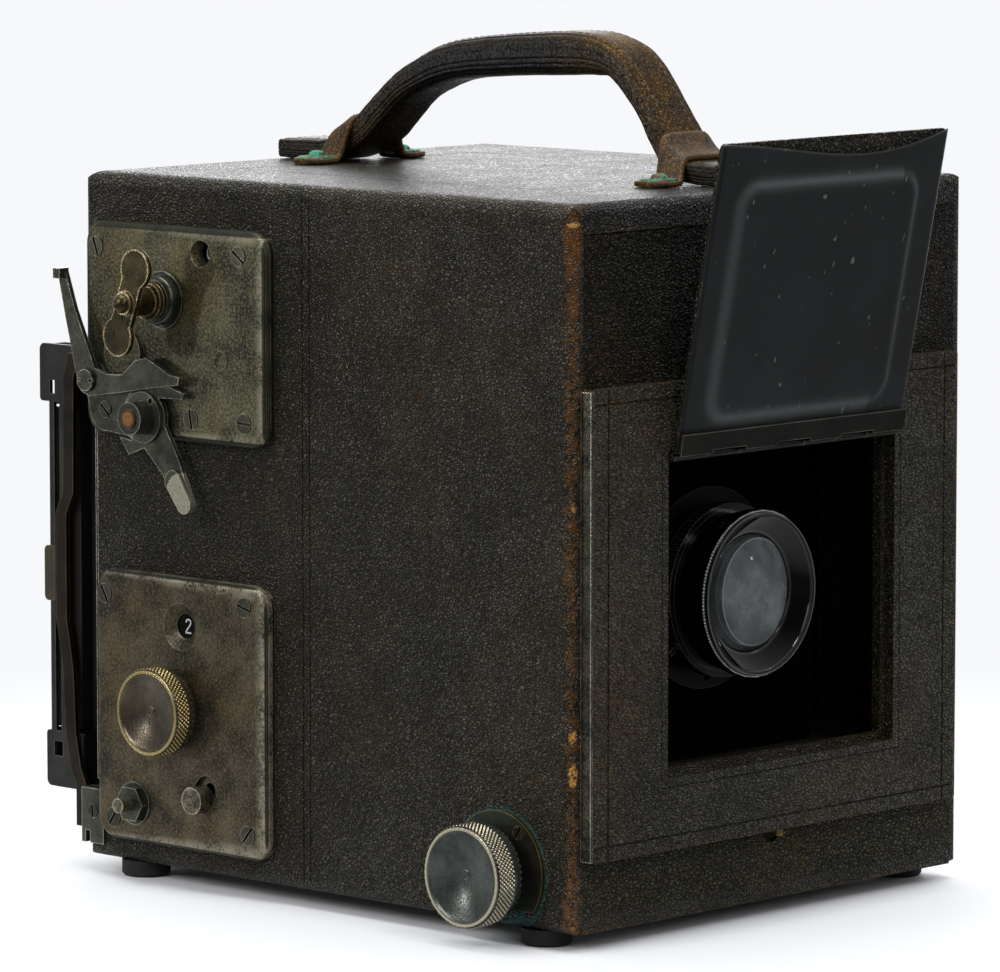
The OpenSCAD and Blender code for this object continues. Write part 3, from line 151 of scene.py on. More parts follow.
# The feet stand on it
floor = piece_of("studio_floor", [[(x, y, -6.0) for x in (-6e4, 6e4)] for y in (6e4, -6e4)],
                 [(0, 2, 3, 1)])
# Pale board that takes the shadow near the case and turns into plain white light
# farther off, which metal and glass show on the far side only.
material, add = new_material("studio_board")
place = add("TexCoord").outputs["Object"]
distance = add("VectorMath", place, operation="LENGTH")
far = add("MapRange", distance.outputs["Value"], 0.17, 0.60, 0.55, interpolation_type="SMOOTHSTEP")
around = add("VectorMath", place, operation="ABSOLUTE")
around = add("VectorMath", around, (0.105, 0.122, 1.0), operation="SUBTRACT")
around = add("VectorMath", around, (0.0, 0.0, 0.0), operation="MAXIMUM")
around = add("VectorMath", around, operation="LENGTH").outputs["Value"]
beside = add("MapRange", around, 0.0, 0.022, interpolation_type="SMOOTHSTEP")
far = add("Math", far, beside, operation="MULTIPLY")
behind = add("VectorMath", place, tuple(-back), operation="DOT_PRODUCT")
pale_side = add("MapRange", behind.outputs["Value"], -0.2, 1.5, 0.10, 0.9)
strength = add("Mix", {0: seen_directly(add), 2: pale_side, 3: 1.0})
light = add("Emission", {"Color": linear("f7f8fb"), "Strength": strength})
board = add("BsdfPrincipled", {"Base Color": linear("f4f5f8"), "Roughness": 0.7,
                               "Specular IOR Level": 0.1})
add("OutputMaterial", add("MixShader", far, board, light))
floor.data.materials.append(material)

world = bpy.data.worlds.new("studio_room")
world.use_nodes = True
world.node_tree.nodes.clear()
add = functools.partial(add_node, world.node_tree)
direction = add("TexCoord").outputs["Generated"]
side = add("VectorMath", direction, (0.40, 0.40, 0.70), operation="DOT_PRODUCT")
room = add("MapRange", side.outputs["Value"], -0.1, 0.8, 0.07, 0.95)
strength = add("Mix", {0: seen_directly(add), 2: room, 3: 1.0})
add("OutputWorld", add("Background", {"Color": linear("f7f8fb"), "Strength": strength}))
scene.world = world

# Square lamps aimed at the middle of the case, with their places and sizes in metres
middle = Vector((0, 0, 0.13))
for name, place, size, power in (
        ("lamp_top", (0.1, 0.1, 1.9), 1.4, 30), ("lamp_left", (-1.9, 0.3, 1.2), 1.0, 20),
        ("lamp_front", (-1.1, -2.0, 1.0), 1.1, 7.5), ("lamp_spot", (-0.25, -1.44, 1.57), 0.34, 7),
        ("lamp_glint", (-1.7, 1.3, 0.22), 0.2, 2.5), ("lamp_side", (1.4, -1.5, 0.62), 0.12, 1.4),
        ("lamp_behind", (1.3, 1.35, 0.75), 1.0, 12)):
    data = bpy.data.lights.new(name, "AREA")
    data.size = size
    data.energy = power
    lamp = bpy.data.objects.new(name, data)
    aim = (Vector(place) - middle).to_track_quat("Z", "Y").to_matrix().to_4x4()
    lamp.matrix_world = Matrix.Translation(place) @ aim
    scene.collection.objects.link(lamp)


# Leather covering
# Thin goatskin with a pebbled grain, dyed black and glued round the boards. The
# dye has rubbed off to brown along the edges, and at the front corner down to the
# bare hide.
def surface(add, colour, roughness, bump=None, height=0.0002, **values):
    """Ends a material with a Principled surface, whose bump goes from 0 to 1 times height metres."""
    inputs = {"Base Color": colour, "Roughness": roughness}
    if bump is not None:
        inputs["Normal"] = add("Bump", {"Height": bump, "Distance": height, "Strength": 1.0})
    inputs.update({key.replace("_", " "): value for key, value in values.items()})
    add("OutputMaterial", add("BsdfPrincipled", inputs))


def edge_distance(add, place, box):
    """Distance in metres to the nearest edge of a box, for a point on its surface: the middle
    one of its distances to the three pairs of faces.
    """
    lo, hi = np.array(box[0]), np.array(box[1])
    shifted = add("VectorMath", place, tuple((lo + hi) / 2), operation="SUBTRACT")
    away = add("VectorMath", shifted, operation="ABSOLUTE")
    x, y, z = add("SeparateXYZ", add("VectorMath", tuple((hi - lo) / 2), away,
                                     operation="SUBTRACT")).outputs
    inner = add("Math", add("Math", x, y, operation="MAXIMUM"), z, operation="MINIMUM")
    return add("Math", add("Math", x, y, operation="MINIMUM"), inner, operation="MAXIMUM")


def axis_distance(add, place, across, centre):
    """Distance in metres from a line through centre, where across is 1 for the two axes
    that the line doesn't run along.
    """
    flat = add("VectorMath", place, across, operation="MULTIPLY")
    offset = add("VectorMath", flat, centre, operation="SUBTRACT")
    return add("VectorMath", offset, operation="LENGTH").outputs["Value"]


def leather(name, box, grain=(1.4, 1.4, 1.0), wear=0.0009, top="403c28", patches=0.35, shine=0.36,
            corner=None, chips=(), glint=0.5, ring=None, painted_light_below=None):
    """Leather pebbled in grains of that size in millimetres.

    It is worn brown within about wear metres of the box's edges, and farther along a corner
    line given by its x and y. chips are (height, reach, width, colour) of bare spots on
    that line, ring is the (y, z), radius and width of a green stain round a brass flange,
    and below the height painted_light_below the leather is paler, as painted light.
    """
    material, add = new_material(name)
    place = add("TexCoord").outputs["Object"]
    # A noise of scale 1000 has lumps of about 1 mm. This one bends the grains' outlines
    lumps = add("TexNoise", {"Vector": place, "Scale": 300.0, "Detail": 2.0})
    push = add("VectorMath", {0: lumps.outputs["Color"], "Scale": 0.0030}, operation="SCALE")
    cells = add("VectorMath", add("VectorMath", place, push, operation="ADD"),
                tuple(1000 / k for k in grain), operation="MULTIPLY")
    folds = add("TexVoronoi", {"Vector": cells, "Scale": 1.0}, feature="DISTANCE_TO_EDGE")
    pebble = add("MapRange", folds.outputs["Distance"], -0.08, 0.44, interpolation_type="SMOOTHSTEP")
    pores = add("TexNoise", place, 1300.0, 2.0, 0.6)
    relief = add("Mix", {0: 0.18, 2: pebble, 3: pores})
    # Darker in the folds as painted shade and a little paler on the grains, with brown where the dye is
    # thin
    cloud = add("TexNoise", place, 14.0, 4.0, 0.6)
    rub = add("TexNoise", place, 70.0, 5.0, 0.72)
    fine = add("TexNoise", place, 560.0, 2.0, 0.55)
    height = add("MapRange", add("TexNoise", place, 60.0, 3.0, 0.55), 0.36, 0.64, 0.7, 1.0)
    height = add("Math", pebble, height, operation="MULTIPLY")
    tint = add("Mix", height, linear("0c0a06"), linear(top), data_type="RGBA")
    thin = add("Math", add("MapRange", cloud, 0.50, 0.68, 0.0, patches),
               add("MapRange", fine, 0.44, 0.60), operation="MULTIPLY")
    tint = add("Mix", thin, tint, linear("52390f"), data_type="RGBA")
    # Painted light: below this height the grain is paler, where the front is out of the door's shade
    if painted_light_below:
        low = add("MapRange", add("SeparateXYZ", place).outputs[2], 0.5 * painted_light_below, painted_light_below, 0.55, 0.0)
        tint = add("Mix", add("Math", low, pebble, operation="MULTIPLY"), tint, linear("56523c"),
                   data_type="RGBA")
    # Wear grows towards the edges and, most of all, towards the worn corner line
    edge = edge_distance(add, place, box)
    reach = add("MapRange", rub, 0.36, 0.64, 0.3 * wear, 2.0 * wear)
    if corner:
        away = axis_distance(add, place, (1.0, 1.0, 0.0), (*corner, 0.0))
        near = add("MapRange", away, 0.0025, 0.009, 1.0, 0.0)
        farther = add("MapRange", rub, 0.34, 0.60, 0.0014, 0.0065)
        farther = add("Math", near, farther, operation="MULTIPLY")
        reach = add("Math", reach, farther, operation="ADD")
    worn = add("MapRange", add("Math", edge, reach, operation="DIVIDE"), 0.35, 1.0, 1.0, 0.0)
    spread = add("Math", fine, add("Math", worn, 0.12, operation="MULTIPLY"), operation="ADD")
    spread = add("MapRange", spread, 0.50, 0.66)
    rust = linear("332615")
    if corner:
        rust = add("Mix", near, rust, linear("57370f"), data_type="RGBA")
    colour = add("Mix", add("Math", worn, spread, operation="MULTIPLY"), tint, rust, data_type="RGBA")
    crumbs = add("MapRange", add("Math", fine, rub, operation="ADD"), 1.12, 1.22)
    crumbs = add("Math", crumbs, worn, operation="MULTIPLY")
    colour = add("Mix", add("Math", crumbs, 0.45, operation="MULTIPLY"), colour, linear("6e5230"),
                 data_type="RGBA")
    if corner:
        up = add("SeparateXYZ", place).outputs[2]
        ragged = add("Math", add("Math", fine, rub, operation="ADD"), 1.0, operation="SUBTRACT")
        ragged = add("Math", ragged, 3.0, operation="MULTIPLY")
        hide = add("MapRange", fine, 0.36, 0.56)
        for level, reach_up, wide, code in chips:
            rise = add("Math", add("Math", up, level, operation="SUBTRACT"), reach_up,
                       operation="DIVIDE")
            rise = add("Math", add("Math", rise, operation="ABSOLUTE"), 2.0, operation="POWER")
            out = add("Math", add("Math", away, wide, operation="DIVIDE"), 2.0, operation="POWER")
            far_off = add("Math", rise, out, operation="ADD")
            bare = add("MapRange", add("Math", far_off, ragged, operation="ADD"), 0.80, 1.0, 1.0, 0.0)
            tan = add("Mix", hide, linear("4a2f12"), linear(code), data_type="RGBA")
            colour = add("Mix", bare, colour, tan, data_type="RGBA")
    if ring:
        middle, radius, width = ring
        out = axis_distance(add, place, (0.0, 1.0, 1.0), (0.0, *middle))
        crust = add("MapRange", out, radius + 0.5 * width, radius + width, 1.0, 0.0)
        crust = add("Math", crust, add("MapRange", fine, 0.40, 0.56), operation="MULTIPLY")
        near_side = add("MapRange", add("SeparateXYZ", place).outputs[0], 0.0, -0.05, 0.0, 0.8)
        colour = add("Mix", add("Math", crust, near_side, operation="MULTIPLY"), colour,
                     linear("1f5a58"), data_type="RGBA")
    # Specks of dust
    specks = add("MapRange", add("TexNoise", place, 320.0, 1.0, 0.55), 0.78, 0.80, 0.0, 0.35)
    colour = add("Mix", specks, colour, linear("6c5a44"), data_type="RGBA")
    surface(add, colour, add("MapRange", height, 0.1, 0.8, shine + 0.20, shine - 0.04), relief, 0.0009,
            Specular_IOR_Level=add("MapRange", height, 0.05, 0.8, 0.2 * glint, 1.25 * glint))
    return material


def dress(material, *names):
    """Gives CAD nodes one material."""
    for name in names:
        for place in nodes[name].material_slots:
            place.material = material


case_box = ((-0.105, -0.122, 0.0), (0.105, 0.122, 0.254))
# The worn corner line nearest the camera, and the bare spots down it
near_corner = (-0.1042, -0.122)
chips = ((0.1492, 0.0024, 0.0018, "cf9a4c"), (0.0693, 0.0036, 0.0020, "cf9a4c"),
         (0.0560, 0.0052, 0.0022, "d6a050"), (0.0475, 0.0020, 0.0012, "cf9a4c"),
         (0.0291, 0.0016, 0.0010, "a87430"), (0.0028, 0.0014, 0.0020, "b07a34"),
         (0.2390, 0.0110, 0.0048, "6b430f"), (0.2200, 0.0060, 0.0026, "6b430f"),
         (0.2470, 0.0012, 0.0030, "d2a45c"))
dress(leather("goatskin_case", case_box, corner=near_corner, chips=chips,
              ring=((-0.088, 0.0196), 0.0215, 0.0016)), "right_side_panel", "left_side_panel",
      "base_board", "rear_upper_panel")
# The front's grain tone is darker than the sides', as painted shade under the open door, and paler near
# the base as painted light
dress(leather("goatskin_front", case_box, (2.0, 2.0, 1.1), top="2b2a20", patches=0.5,
              corner=near_corner, chips=chips, glint=0.22, painted_light_below=0.06), "front_panels")
dress(leather("goatskin_lid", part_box("lid_board"), (1.3, 1.3, 1.3), top="2a2924", shine=0.30),
      "lid_board")
dress(leather("goatskin_frame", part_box("front_frame"), (2.0, 2.0, 0.8), 0.0012, top="45402a",
              patches=0.7), "front_frame")
dress(leather("goatskin_door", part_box("door_leather"), (1.9, 1.3, 1.9), 0.0012), "door_leather")


# Plates and levers
# Stamped brass with a gunmetal finish, mottled and stained with age, and rubbed
# down to pale metal along the edges; on the levers that pale edge is a painted
# highlight. The screws and the pins are brighter.
def edge_turn(add, radius):
    """The cosine between the surface and one with its edges rounded by that radius in metres:
    1 on flat parts and less along edges.
    """
    flat = add("NewGeometry").outputs["Normal"]
    rounded = add("Bevel", radius, samples=4)
    return add("VectorMath", flat, rounded, operation="DOT_PRODUCT").outputs["Value"]


def patina(name, dark, light, bright, rough=0.5, scale=60.0, metallic=0.75, edge=0.0006, stain=None,
           stain_amount=0.5, rub=1.0, band=None, zones=(), level=0.5, tips=None, painted_shade=0.0,
           grit=0.0, behind=None):
    """Aged metal or enamel: two mottled tones, with a third along convex edges within about
    edge metres: metal rubbed bright, and on the levers and the lens enamel a painted highlight.

    stain is a fourth tone in clouds. band is a box and two widths: a rubbed border inside
    its edges, widest towards -Y, and the dark rim outside that. zones are (centre, radius,
    colour) for discs about an axis along X, with a fourth value where they fade out. tips
    is a centre and radius beyond which a knurl is rubbed bright, painted_shade darkens slots
    and corners as painted shade, grit scatters fine lighter and darker grains, and behind
    is an x past which the piece is painted black.
    """
    material, add = new_material(name)
    place = add("TexCoord").outputs["Object"]
    cloud = add("TexNoise", place, scale, 6.0, 0.65)
    speck = add("TexNoise", place, scale * 14, 3.0, 0.65)
    # Tones that lie over one another: how much of each shows, and its colour
    layers = []
    if stain:
        spots = add("MapRange", add("TexNoise", place, scale * 0.45, 4.0, 0.7), 0.47, 0.66)
        spots = add("Math", spots, add("MapRange", speck, 0.38, 0.56), operation="MULTIPLY")
        spots = add("Math", spots, stain_amount, operation="MULTIPLY")
        layers.append((spots, stain))
    for centre, radius, code, *blur in zones:
        away = axis_distance(add, place, (0.0, 1.0, 1.0), (0.0, *centre))
        soft = blur[0] if blur else 0.00015
        disc = add("MapRange", away, radius - soft, radius + soft, 0.75 if blur else 1.0, 0.0)
        layers.append((disc, code))
    layers.append((add("MapRange", speck, 0.52, 0.70, 0.0, 0.6), dark))
    if grit:
        grain = add("TexNoise", place, 950.0, 3.0, 0.85)
        for end, code in ((0.66, "8d8770"), (0.36, "17170f")):
            layers.append((add("MapRange", grain, 0.50, end, 0.0, grit), code))
    # Pale along convex edges: rubbed metal, and on some parts a painted highlight
    rubbed = add("MapRange", edge_turn(add, edge), 0.985, 0.88)
    unevenly = add("MapRange", cloud, 0.34, 0.60, 0.35 * rub, rub)
    rubbed = add("Math", rubbed, unevenly, operation="MULTIPLY")
    if band:
        box, width, rim = band
        y = add("SeparateXYZ", place).outputs[1]
        wide = add("MapRange", y, box[0][1] + 2.2 * width, box[1][1], width, 0.35 * width)
        inward = edge_distance(add, place, box)
        border = add("MapRange", add("Math", inward, wide, operation="DIVIDE"), 0.25, 1.0, 1.0, 0.0)
        mottle = add("MapRange", add("Math", speck, cloud, operation="ADD"), 0.84, 1.10, 0.0, 0.9)
        outmost = add("MapRange", add("Math", inward, rim, operation="DIVIDE"), 0.75, 1.05, 1.0, 0.0)
        layers.append((add("Math", outmost, 0.85, operation="MULTIPLY"), "1a2018"))
        inner = add("Math", 1.0, outmost, operation="SUBTRACT")
        border = add("Math", border, inner, operation="MULTIPLY")
        border = add("Math", border, mottle, operation="MULTIPLY")
        rubbed = add("Math", rubbed, border, operation="MAXIMUM")
    if tips:
        centre, root = tips
        away = axis_distance(add, place, (0.0, 1.0, 1.0), (0.0, *centre))
        layers.append((add("MapRange", away, root + 0.00013, root + 0.00015), "12110e"))
        points = add("MapRange", away, root + 0.0003, root + 0.0007)
        rubbed = add("Math", rubbed, points, operation="MAXIMUM")
        ring = add("Math", add("MapRange", away, root - 0.0012, root - 0.0010),
                   add("MapRange", away, root - 0.0001, root, 1.0, 0.0), operation="MULTIPLY")
        ring = add("Math", ring, 0.8, operation="MULTIPLY")
        rubbed = add("Math", rubbed, ring, operation="MAXIMUM")
    layers.append((rubbed, bright))
    # Painted shade in slots and corners, where little of the surroundings is seen
    if painted_shade:
        open_sky = add("AmbientOcclusion", {"Distance": 0.0012}, samples=4).outputs["AO"]
        layers.append((add("MapRange", open_sky, 0.55, 0.9, painted_shade, 0.0), "050504"))
    if behind:
        inside = add("MapRange", add("SeparateXYZ", place).outputs[0], behind, behind + 0.0001)
        layers.append((inside, "080808"))
    colour = add("Mix", add("MapRange", cloud, 0.38, 0.62), linear(dark), linear(light),
                 data_type="RGBA")
    for amount, code in layers:
        colour = add("Mix", amount, colour, linear(code), data_type="RGBA")
    shine = add("MapRange", speck, 0.3, 0.7, rough - 0.07, rough + 0.12)
    surface(add, colour, shine, speck, 0.00003, Metallic=metallic, Specular_IOR_Level=level)
    return material


def flat_box(name):
    """The box of a side plate from the case to its face, without what stands on it."""
    low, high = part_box(name)
    return (-0.1095, *low[1:]), (-0.105, *high[1:])


# Where the mirror turns, from the front and from the base
mirror_axis = (0.0819, 0.1666)
# The plates are grainy and blotched, with a bright border that hands have rubbed. The wide soft dark
# disc on the upper plate is painted shade over its rear end
dress(patina("gunmetal_upper", "26281d", "615f48", "a8a48e", 0.40, 80.0, stain="7d6a34",
             stain_amount=0.6, grit=0.7, zones=[((0.112, 0.186), 0.030, "28271b", 0.020),
                                                ((0.060, 0.214), 0.010, "5c5230", 0.008)],
             band=(flat_box("upper_plate"), 0.0054, 0.0024)), "upper_plate")
dress(patina("gunmetal_lower", "28241b", "5c5342", "aaa48f", 0.42, 80.0, stain="705c36",
             stain_amount=0.5, grit=0.45, band=(flat_box("lower_plate"), 0.0062, 0.0014)),
      "lower_plate")
# The levers are smoother and darker, with a thin highlight along each edge
dress(patina("gunmetal_lever", "2e3029", "55574b", "e4e0ca", 0.28, 110.0, rub=0.9, painted_shade=0.9),
      "lever_bracket", "release_lever", "plate_bushes", "corner_brackets")
# The thumb lever's touch is polished, and its hub shows washer, nut and brass shaft
hub = [(mirror_axis, radius, code) for radius, code in (
    (0.0094, "4e4e45"), (0.0060, "3a3a35"), (0.0037, "3c2814"), (0.0026, "8a5a20"))]
dress(patina("gunmetal_thumb_lever", "2e3029", "55574b", "e4e0ca", 0.28, 110.0, rub=0.9, painted_shade=0.9,
             zones=[((0.0615, 0.1400), 0.0078, "a8a593")] + hub), "mirror_lever")
dress(patina("screw_gunmetal", "302f28", "525044", "bdb79f", 0.32, edge=0.0004, painted_shade=1.0),
      "panel_screws")
dress(patina("nickel_worn", "4b493e", "77745f", "d2cdb6", 0.32), "upper_roller", "lower_roller")
# Buttons, strips and key are bare metal on every edge that is touched
dress(patina("button_worn", "37342a", "8d8672", "efe8d4", 0.30, 260.0, edge=0.0009, grit=0.7),
      "release_button", "stop_button")
dress(patina("edge_nickel", "1f1e17", "48463b", "f2eede", 0.26, 130.0, edge=0.0007, grit=0.4),
      "frame_edge_strips")
dress(patina("bronze_key", "211e12", "484026", "f0d8a8", 0.24, 110.0, edge=0.0013), "winding_key")
# Brass is dark with age and green where it lay against leather, and steel is brown-black
dress(patina("brass_flange", "26251f", "38352a", "b79a58", 0.40, stain="2f6a5c", stain_amount=0.3,
             edge=0.0007), "focus_flange")
dress(patina("brass_shaft", "4f4430", "7b6a3f", "c0a565", 0.42), "focus_shaft", "tripod_bush",
      "frame_catch")
dress(patina("hinge_steel", "121210", "23221d", "a8a595", 0.38, edge=0.0005), "door_hinge_leaf",
      "fixed_hinge_leaves", "lid_hinge_leaf")

# Plate holder and back
# A black wooden holder between slotted steel locks, with a bowed spring of
# browned metal on each side of the back.
dress(patina("lock_steel", "2a2b2a", "3a3b39", "7d7b70"), "slide_lock_right", "slide_lock_left")
dress(patina("spring_bronze", "1b1814", "2d2620", "7a6a4a", 0.42, edge=0.0007), "holder_springs")
dress(patina("slide_fibre", "25211a", "3f3828", "7c6c44", metallic=0.1), "dark_slide")
dress(patina("holder_wood", "0d0b09", "17130f", "2c241c", metallic=0.0), "plate_holder")
dress(patina("bed_wood", "15110c", "211a12", "3a281a", metallic=0.0), "bed_rails", "focus_bed")
dress(patina("foot_rubber", "0b0b0b", "151515", "222222", 0.8, metallic=0.0), "feet")

# Inside of the case
# Boards painted dead black, so that no light strays to the plate. The mirror's
# brass shaft shows at its end, in the hub of the thumb lever.
dress(patina("mirror_black", "060606", "0a0a0a", "8a5c2c", metallic=0.2,
             zones=[(mirror_axis, 0.0045, "3c2814"), (mirror_axis, 0.0026, "8a5a20")]),
      "mirror_frame")
dress(patina("dead_black", "020202", "040404", "0c0c0a", 0.9, metallic=0.0, level=0.03),
      "mirror_box_front", "screen_frame", "film_gate", "back_frame", "lens_board")
dress(patina("dial_black", "0a0a0a", "111111", "30302e", metallic=0.0), "number_dial")

# Lens
# Black-enamelled brass mounts. The enamel has worn off the front edge of the milled
# ring, and a conical bezel leads down to a strongly curved, hazy front glass.
lens_z = 109.2


def spun(name, profile, count=120):
    """A round piece about the lens axis, from (radius, y) pairs in millimetres."""
    p = np.asarray(profile, float)
    angle = np.linspace(0, 2 * np.pi, count, endpoint=False)[None, :]
    points = np.stack([p[:, 0:1] * np.cos(angle), p[:, 1:2] + 0 * angle,
                       lens_z + p[:, 0:1] * np.sin(angle)], -1)
    return piece_of(name, points, grid_faces(len(p), count, across=True))


# The thin pale edges of the barrel and iris ring are a painted highlight
dress(patina("lens_enamel", "030303", "060606", "8d8b80", 0.14, metallic=0.0, edge=0.0003, rub=0.8,
             level=0.4), "lens_barrel", "iris_ring")
dress(patina("flange_enamel", "050505", "0c0c0a", "4c4b45", 0.35, metallic=0.0, level=0.12),
      "lens_flange")
# Glossy black, with bare metal on the 150 teeth and a little on the front lip
material, add = new_material("lens_rim_enamel")
place = add("TexCoord").outputs["Object"]
offset = add("VectorMath", place, (1.0, 0.0, 1.0), operation="MULTIPLY")
offset = add("VectorMath", offset, (0.0, 0.0, lens_z / 1000), operation="SUBTRACT")
away = add("VectorMath", offset, operation="LENGTH").outputs["Value"]
front_y = add("SeparateXYZ", place).outputs[1]
sides = add("SeparateXYZ", offset).outputs
teeth = add("Math", sides[2], sides[0], operation="ARCTAN2")
teeth = add("Math", add("Math", teeth, 150.0, operation="MULTIPLY"), operation="SINE")
milled = add("Math", add("MapRange", away, 0.02940, 0.0295), add("MapRange", front_y, -0.1150, -0.1152),
             operation="MULTIPLY")
milled = add("Math", milled, add("MapRange", teeth, -0.6, 0.4, 0.15, 1.0), operation="MULTIPLY")
lip = add("Math", add("MapRange", away, 0.02845, 0.0286), add("MapRange", front_y, -0.1167, -0.1168),
          operation="MULTIPLY")
worn = add("Math", milled, add("Math", lip, 0.10, operation="MULTIPLY"), operation="MAXIMUM")
surface(add, add("Mix", worn, linear("050505"), linear("f2f1ec"), data_type="RGBA"),
        add("MapRange", worn, 0.0, 1.0, 0.12, 0.4), Metallic=add("MapRange", worn, 0.0, 1.0, 0.0, 0.3),
        Specular_IOR_Level=add("MapRange", worn, 0.0, 1.0, 0.3, 0.5))
dress(material, "lens_rim")
bezel = spun("lens_bezel", [
    (21.3, -109.4), (21.3, -110.9), (21.7, -111.2), (22.3, -111.2), (27.3, -115.7), (27.7, -115.9),
    (28.25, -116.9), (28.3, -116.6), (26.2, -112.6), (24.5, -110.4), (23.0, -109.4), (21.3, -109.4)])
# Glossy black that mirrors the room, with two thin rubbed rings
material, add = new_material("bezel_enamel")
place = add("TexCoord").outputs["Object"]
away = axis_distance(add, place, (1.0, 0.0, 1.0), (0.0, 0.0, lens_z / 1000))
inner = add("Math", add("MapRange", away, 0.0215, 0.0217),
            add("MapRange", away, 0.0223, 0.0225, 1.0, 0.0), operation="MULTIPLY")
outer = add("MapRange", away, 0.0276, 0.0277)
worn = add("Math", add("Math", inner, outer, operation="MAXIMUM"), 0.15, operation="MULTIPLY")
surface(add, add("Mix", worn, linear("040404"), linear("8f928b"), data_type="RGBA"), 0.07,
        Metallic=add("MapRange", worn, 0.0, 0.5, 0.0, 0.8), Specular_IOR_Level=0.35)
bezel.data.materials.append(material)
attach(bezel, "lens")
# The front glass is hazy with dust, and an off-centre paler disc with a bright rim line
# is a painted reflection of the rear element, so that a clear crescent shows beside it
glass, bulge = 21.2, 5.0
ball = (glass ** 2 + bulge ** 2) / (2 * bulge)
dome = [(r, -115.6 + ball - math.sqrt(ball ** 2 - r ** 2)) for r in np.linspace(0, glass, 40)]
front_glass = spun("front_glass", dome + [(glass, -109.5), (0.0, -109.5)])
material, add = new_material("lens_glass")
place = add("TexCoord").outputs["Object"]
away = axis_distance(add, place, (1.0, 0.0, 1.0), (0.003, 0.0, lens_z / 1000))
# The disc and its rim line are painted reflection; the wisps are dust
middle = add("MapRange", away, 0.0193, 0.0196, 1.0, 0.0)
line = add("Math", add("MapRange", away, 0.0188, 0.0193), middle, operation="MULTIPLY")
clear = add("BsdfTransparent", {"Color": linear("e8efec")})
gloss = add("BsdfPrincipled", {"Base Color": linear("0a0d0c"), "Roughness": 0.03, "IOR": 1.5})
sheet = add("MixShader", add("MapRange", middle, 0.0, 1.0, 0.35, 0.15), clear, gloss)
wisps = add("TexNoise", place, 42.0, 6.0, 0.62)
haze_and_reflection_colour = add("MapRange", wisps, 0.38, 0.60)
haze_and_reflection_colour = add("Mix", haze_and_reflection_colour, linear("4c5154"), linear("abb2b5"), data_type="RGBA")
haze_and_reflection_colour = add("Mix", line, haze_and_reflection_colour, linear("b4bcb8"), data_type="RGBA")
haze_and_reflection = add("BsdfPrincipled", {"Base Color": haze_and_reflection_colour, "Roughness": 0.5})
haze = add("Math", add("MapRange", middle, 0.0, 1.0, 0.08, 0.40),
           add("Math", line, 0.12, operation="MULTIPLY"), operation="ADD")
add("OutputMaterial", add("MixShader", haze, sheet, haze_and_reflection))
front_glass.data.materials.append(material)
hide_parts("lens_elements")
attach(front_glass, "lens")
# A second element deeper in the barrel, coated by dust
bowl = [(r, -104.6 + 0.006 * r * r) for r in np.linspace(0, 20.8, 24)]
rear = spun("inner_glass", bowl + [(20.8, -100.5), (0.0, -100.5)])
material, add = new_material("dusty_glass")
wisps = add("TexNoise", add("TexCoord").outputs["Object"], 110.0, 5.0, 0.7)
surface(add, add("Mix", add("MapRange", wisps, 0.35, 0.65), linear("171a19"), linear("383d3e"),
                 data_type="RGBA"), 0.08)
rear.data.materials.append(material)
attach(rear, "lens")

# Ground glass and mirror
# A plate of glass etched on one side, which scatters light, and a silvered plate
# that is clipped into the mirror's frame.
material, add = new_material("screen_glass")
surface(add, linear("e4e8ea"), 0.35, Transmission_Weight=0.9, IOR=1.5)
dress(material, "ground_glass")
material, add = new_material("mirror_silver")
surface(add, linear("d8dadc"), 0.03, Metallic=1.0)
dress(material, "mirror_glass")


# Door
# A pressed steel sheet in black lacquer with a raised field, backed with leather.
# Its free edge is cut away in a wave, so that a finger finds the leather.
def slab_of(name, front, rear):
    """A closed sheet between two grids of points in millimetres, of the same shape."""
    n, m = front.shape[:2]
    faces = [grid_faces(n, m), grid_faces(n, m, start=n * m)]
    ring = np.concatenate([np.arange(m), np.arange(2, n + 1) * m - 1,
                           np.arange(n * m - 2, (n - 1) * m - 1, -1), np.arange(n - 2, 0, -1) * m])
    following = np.roll(ring, -1)
    faces.append(np.stack([ring, following, following + n * m, ring + n * m], -1))
    points = np.concatenate([front.reshape(-1, 3), rear.reshape(-1, 3)])
    return piece_of(name, points, np.concatenate(faces))


def step(x, low, high):
    """0 below low, 1 above high, and a smooth ramp between."""
    t = np.clip((x - low) / (high - low), 0, 1)
    return t * t * (3 - 2 * t)


# The hinge line, how far the open door leans out, half its width and its height
axis_y, axis_z, lean = -127.4, 164.0, math.radians(11.3)
half, tall = 60.3, 112.1
u = np.linspace(-1, 1, 121)[None, :]
v = np.linspace(0, 1, 121)[:, None]
free = tall - 6.6 * np.sin(np.pi * np.clip((u + 1) / 2, 0, 1) ** 1.5)
x = half * u + 0 * v
h = 2.3 + (free - 2.3) * v
# How far a point lies inside the raised field, which has rounded corners
inset = np.minimum(half - 13 - np.abs(x), np.minimum(h - 13, tall - 15 - h))
corner_x = np.maximum(np.abs(x) - (half - 22), 0)
corner_h = np.maximum(np.maximum(22 - h, h - tall + 24), 0)
inset = np.where((corner_x > 0) & (corner_h > 0), 9 - np.hypot(corner_x, corner_h), inset)
depth = 2.5 + 0.9 * step(inset, -1.6, 1.6) - 0.5 * step(-(half - np.abs(x)), -1.0, 0.0)
depth = depth - 0.25 * np.cos(np.pi * x / half / 2) * np.sin(np.pi * h / tall) * step(inset, 0, 12)


def opened(x, depth, h):
    """Puts points of the closed door, given across, deep and down from its hinge line, where
    they are on the open door.
    """
    y = axis_y - depth * math.cos(lean) - h * math.sin(lean)
    z = axis_z - depth * math.sin(lean) + h * math.cos(lean)
    return np.stack([x, y, z], -1)


pan = slab_of("door_pan", opened(x, depth, h), opened(x, 0 * x + 1.35, h))
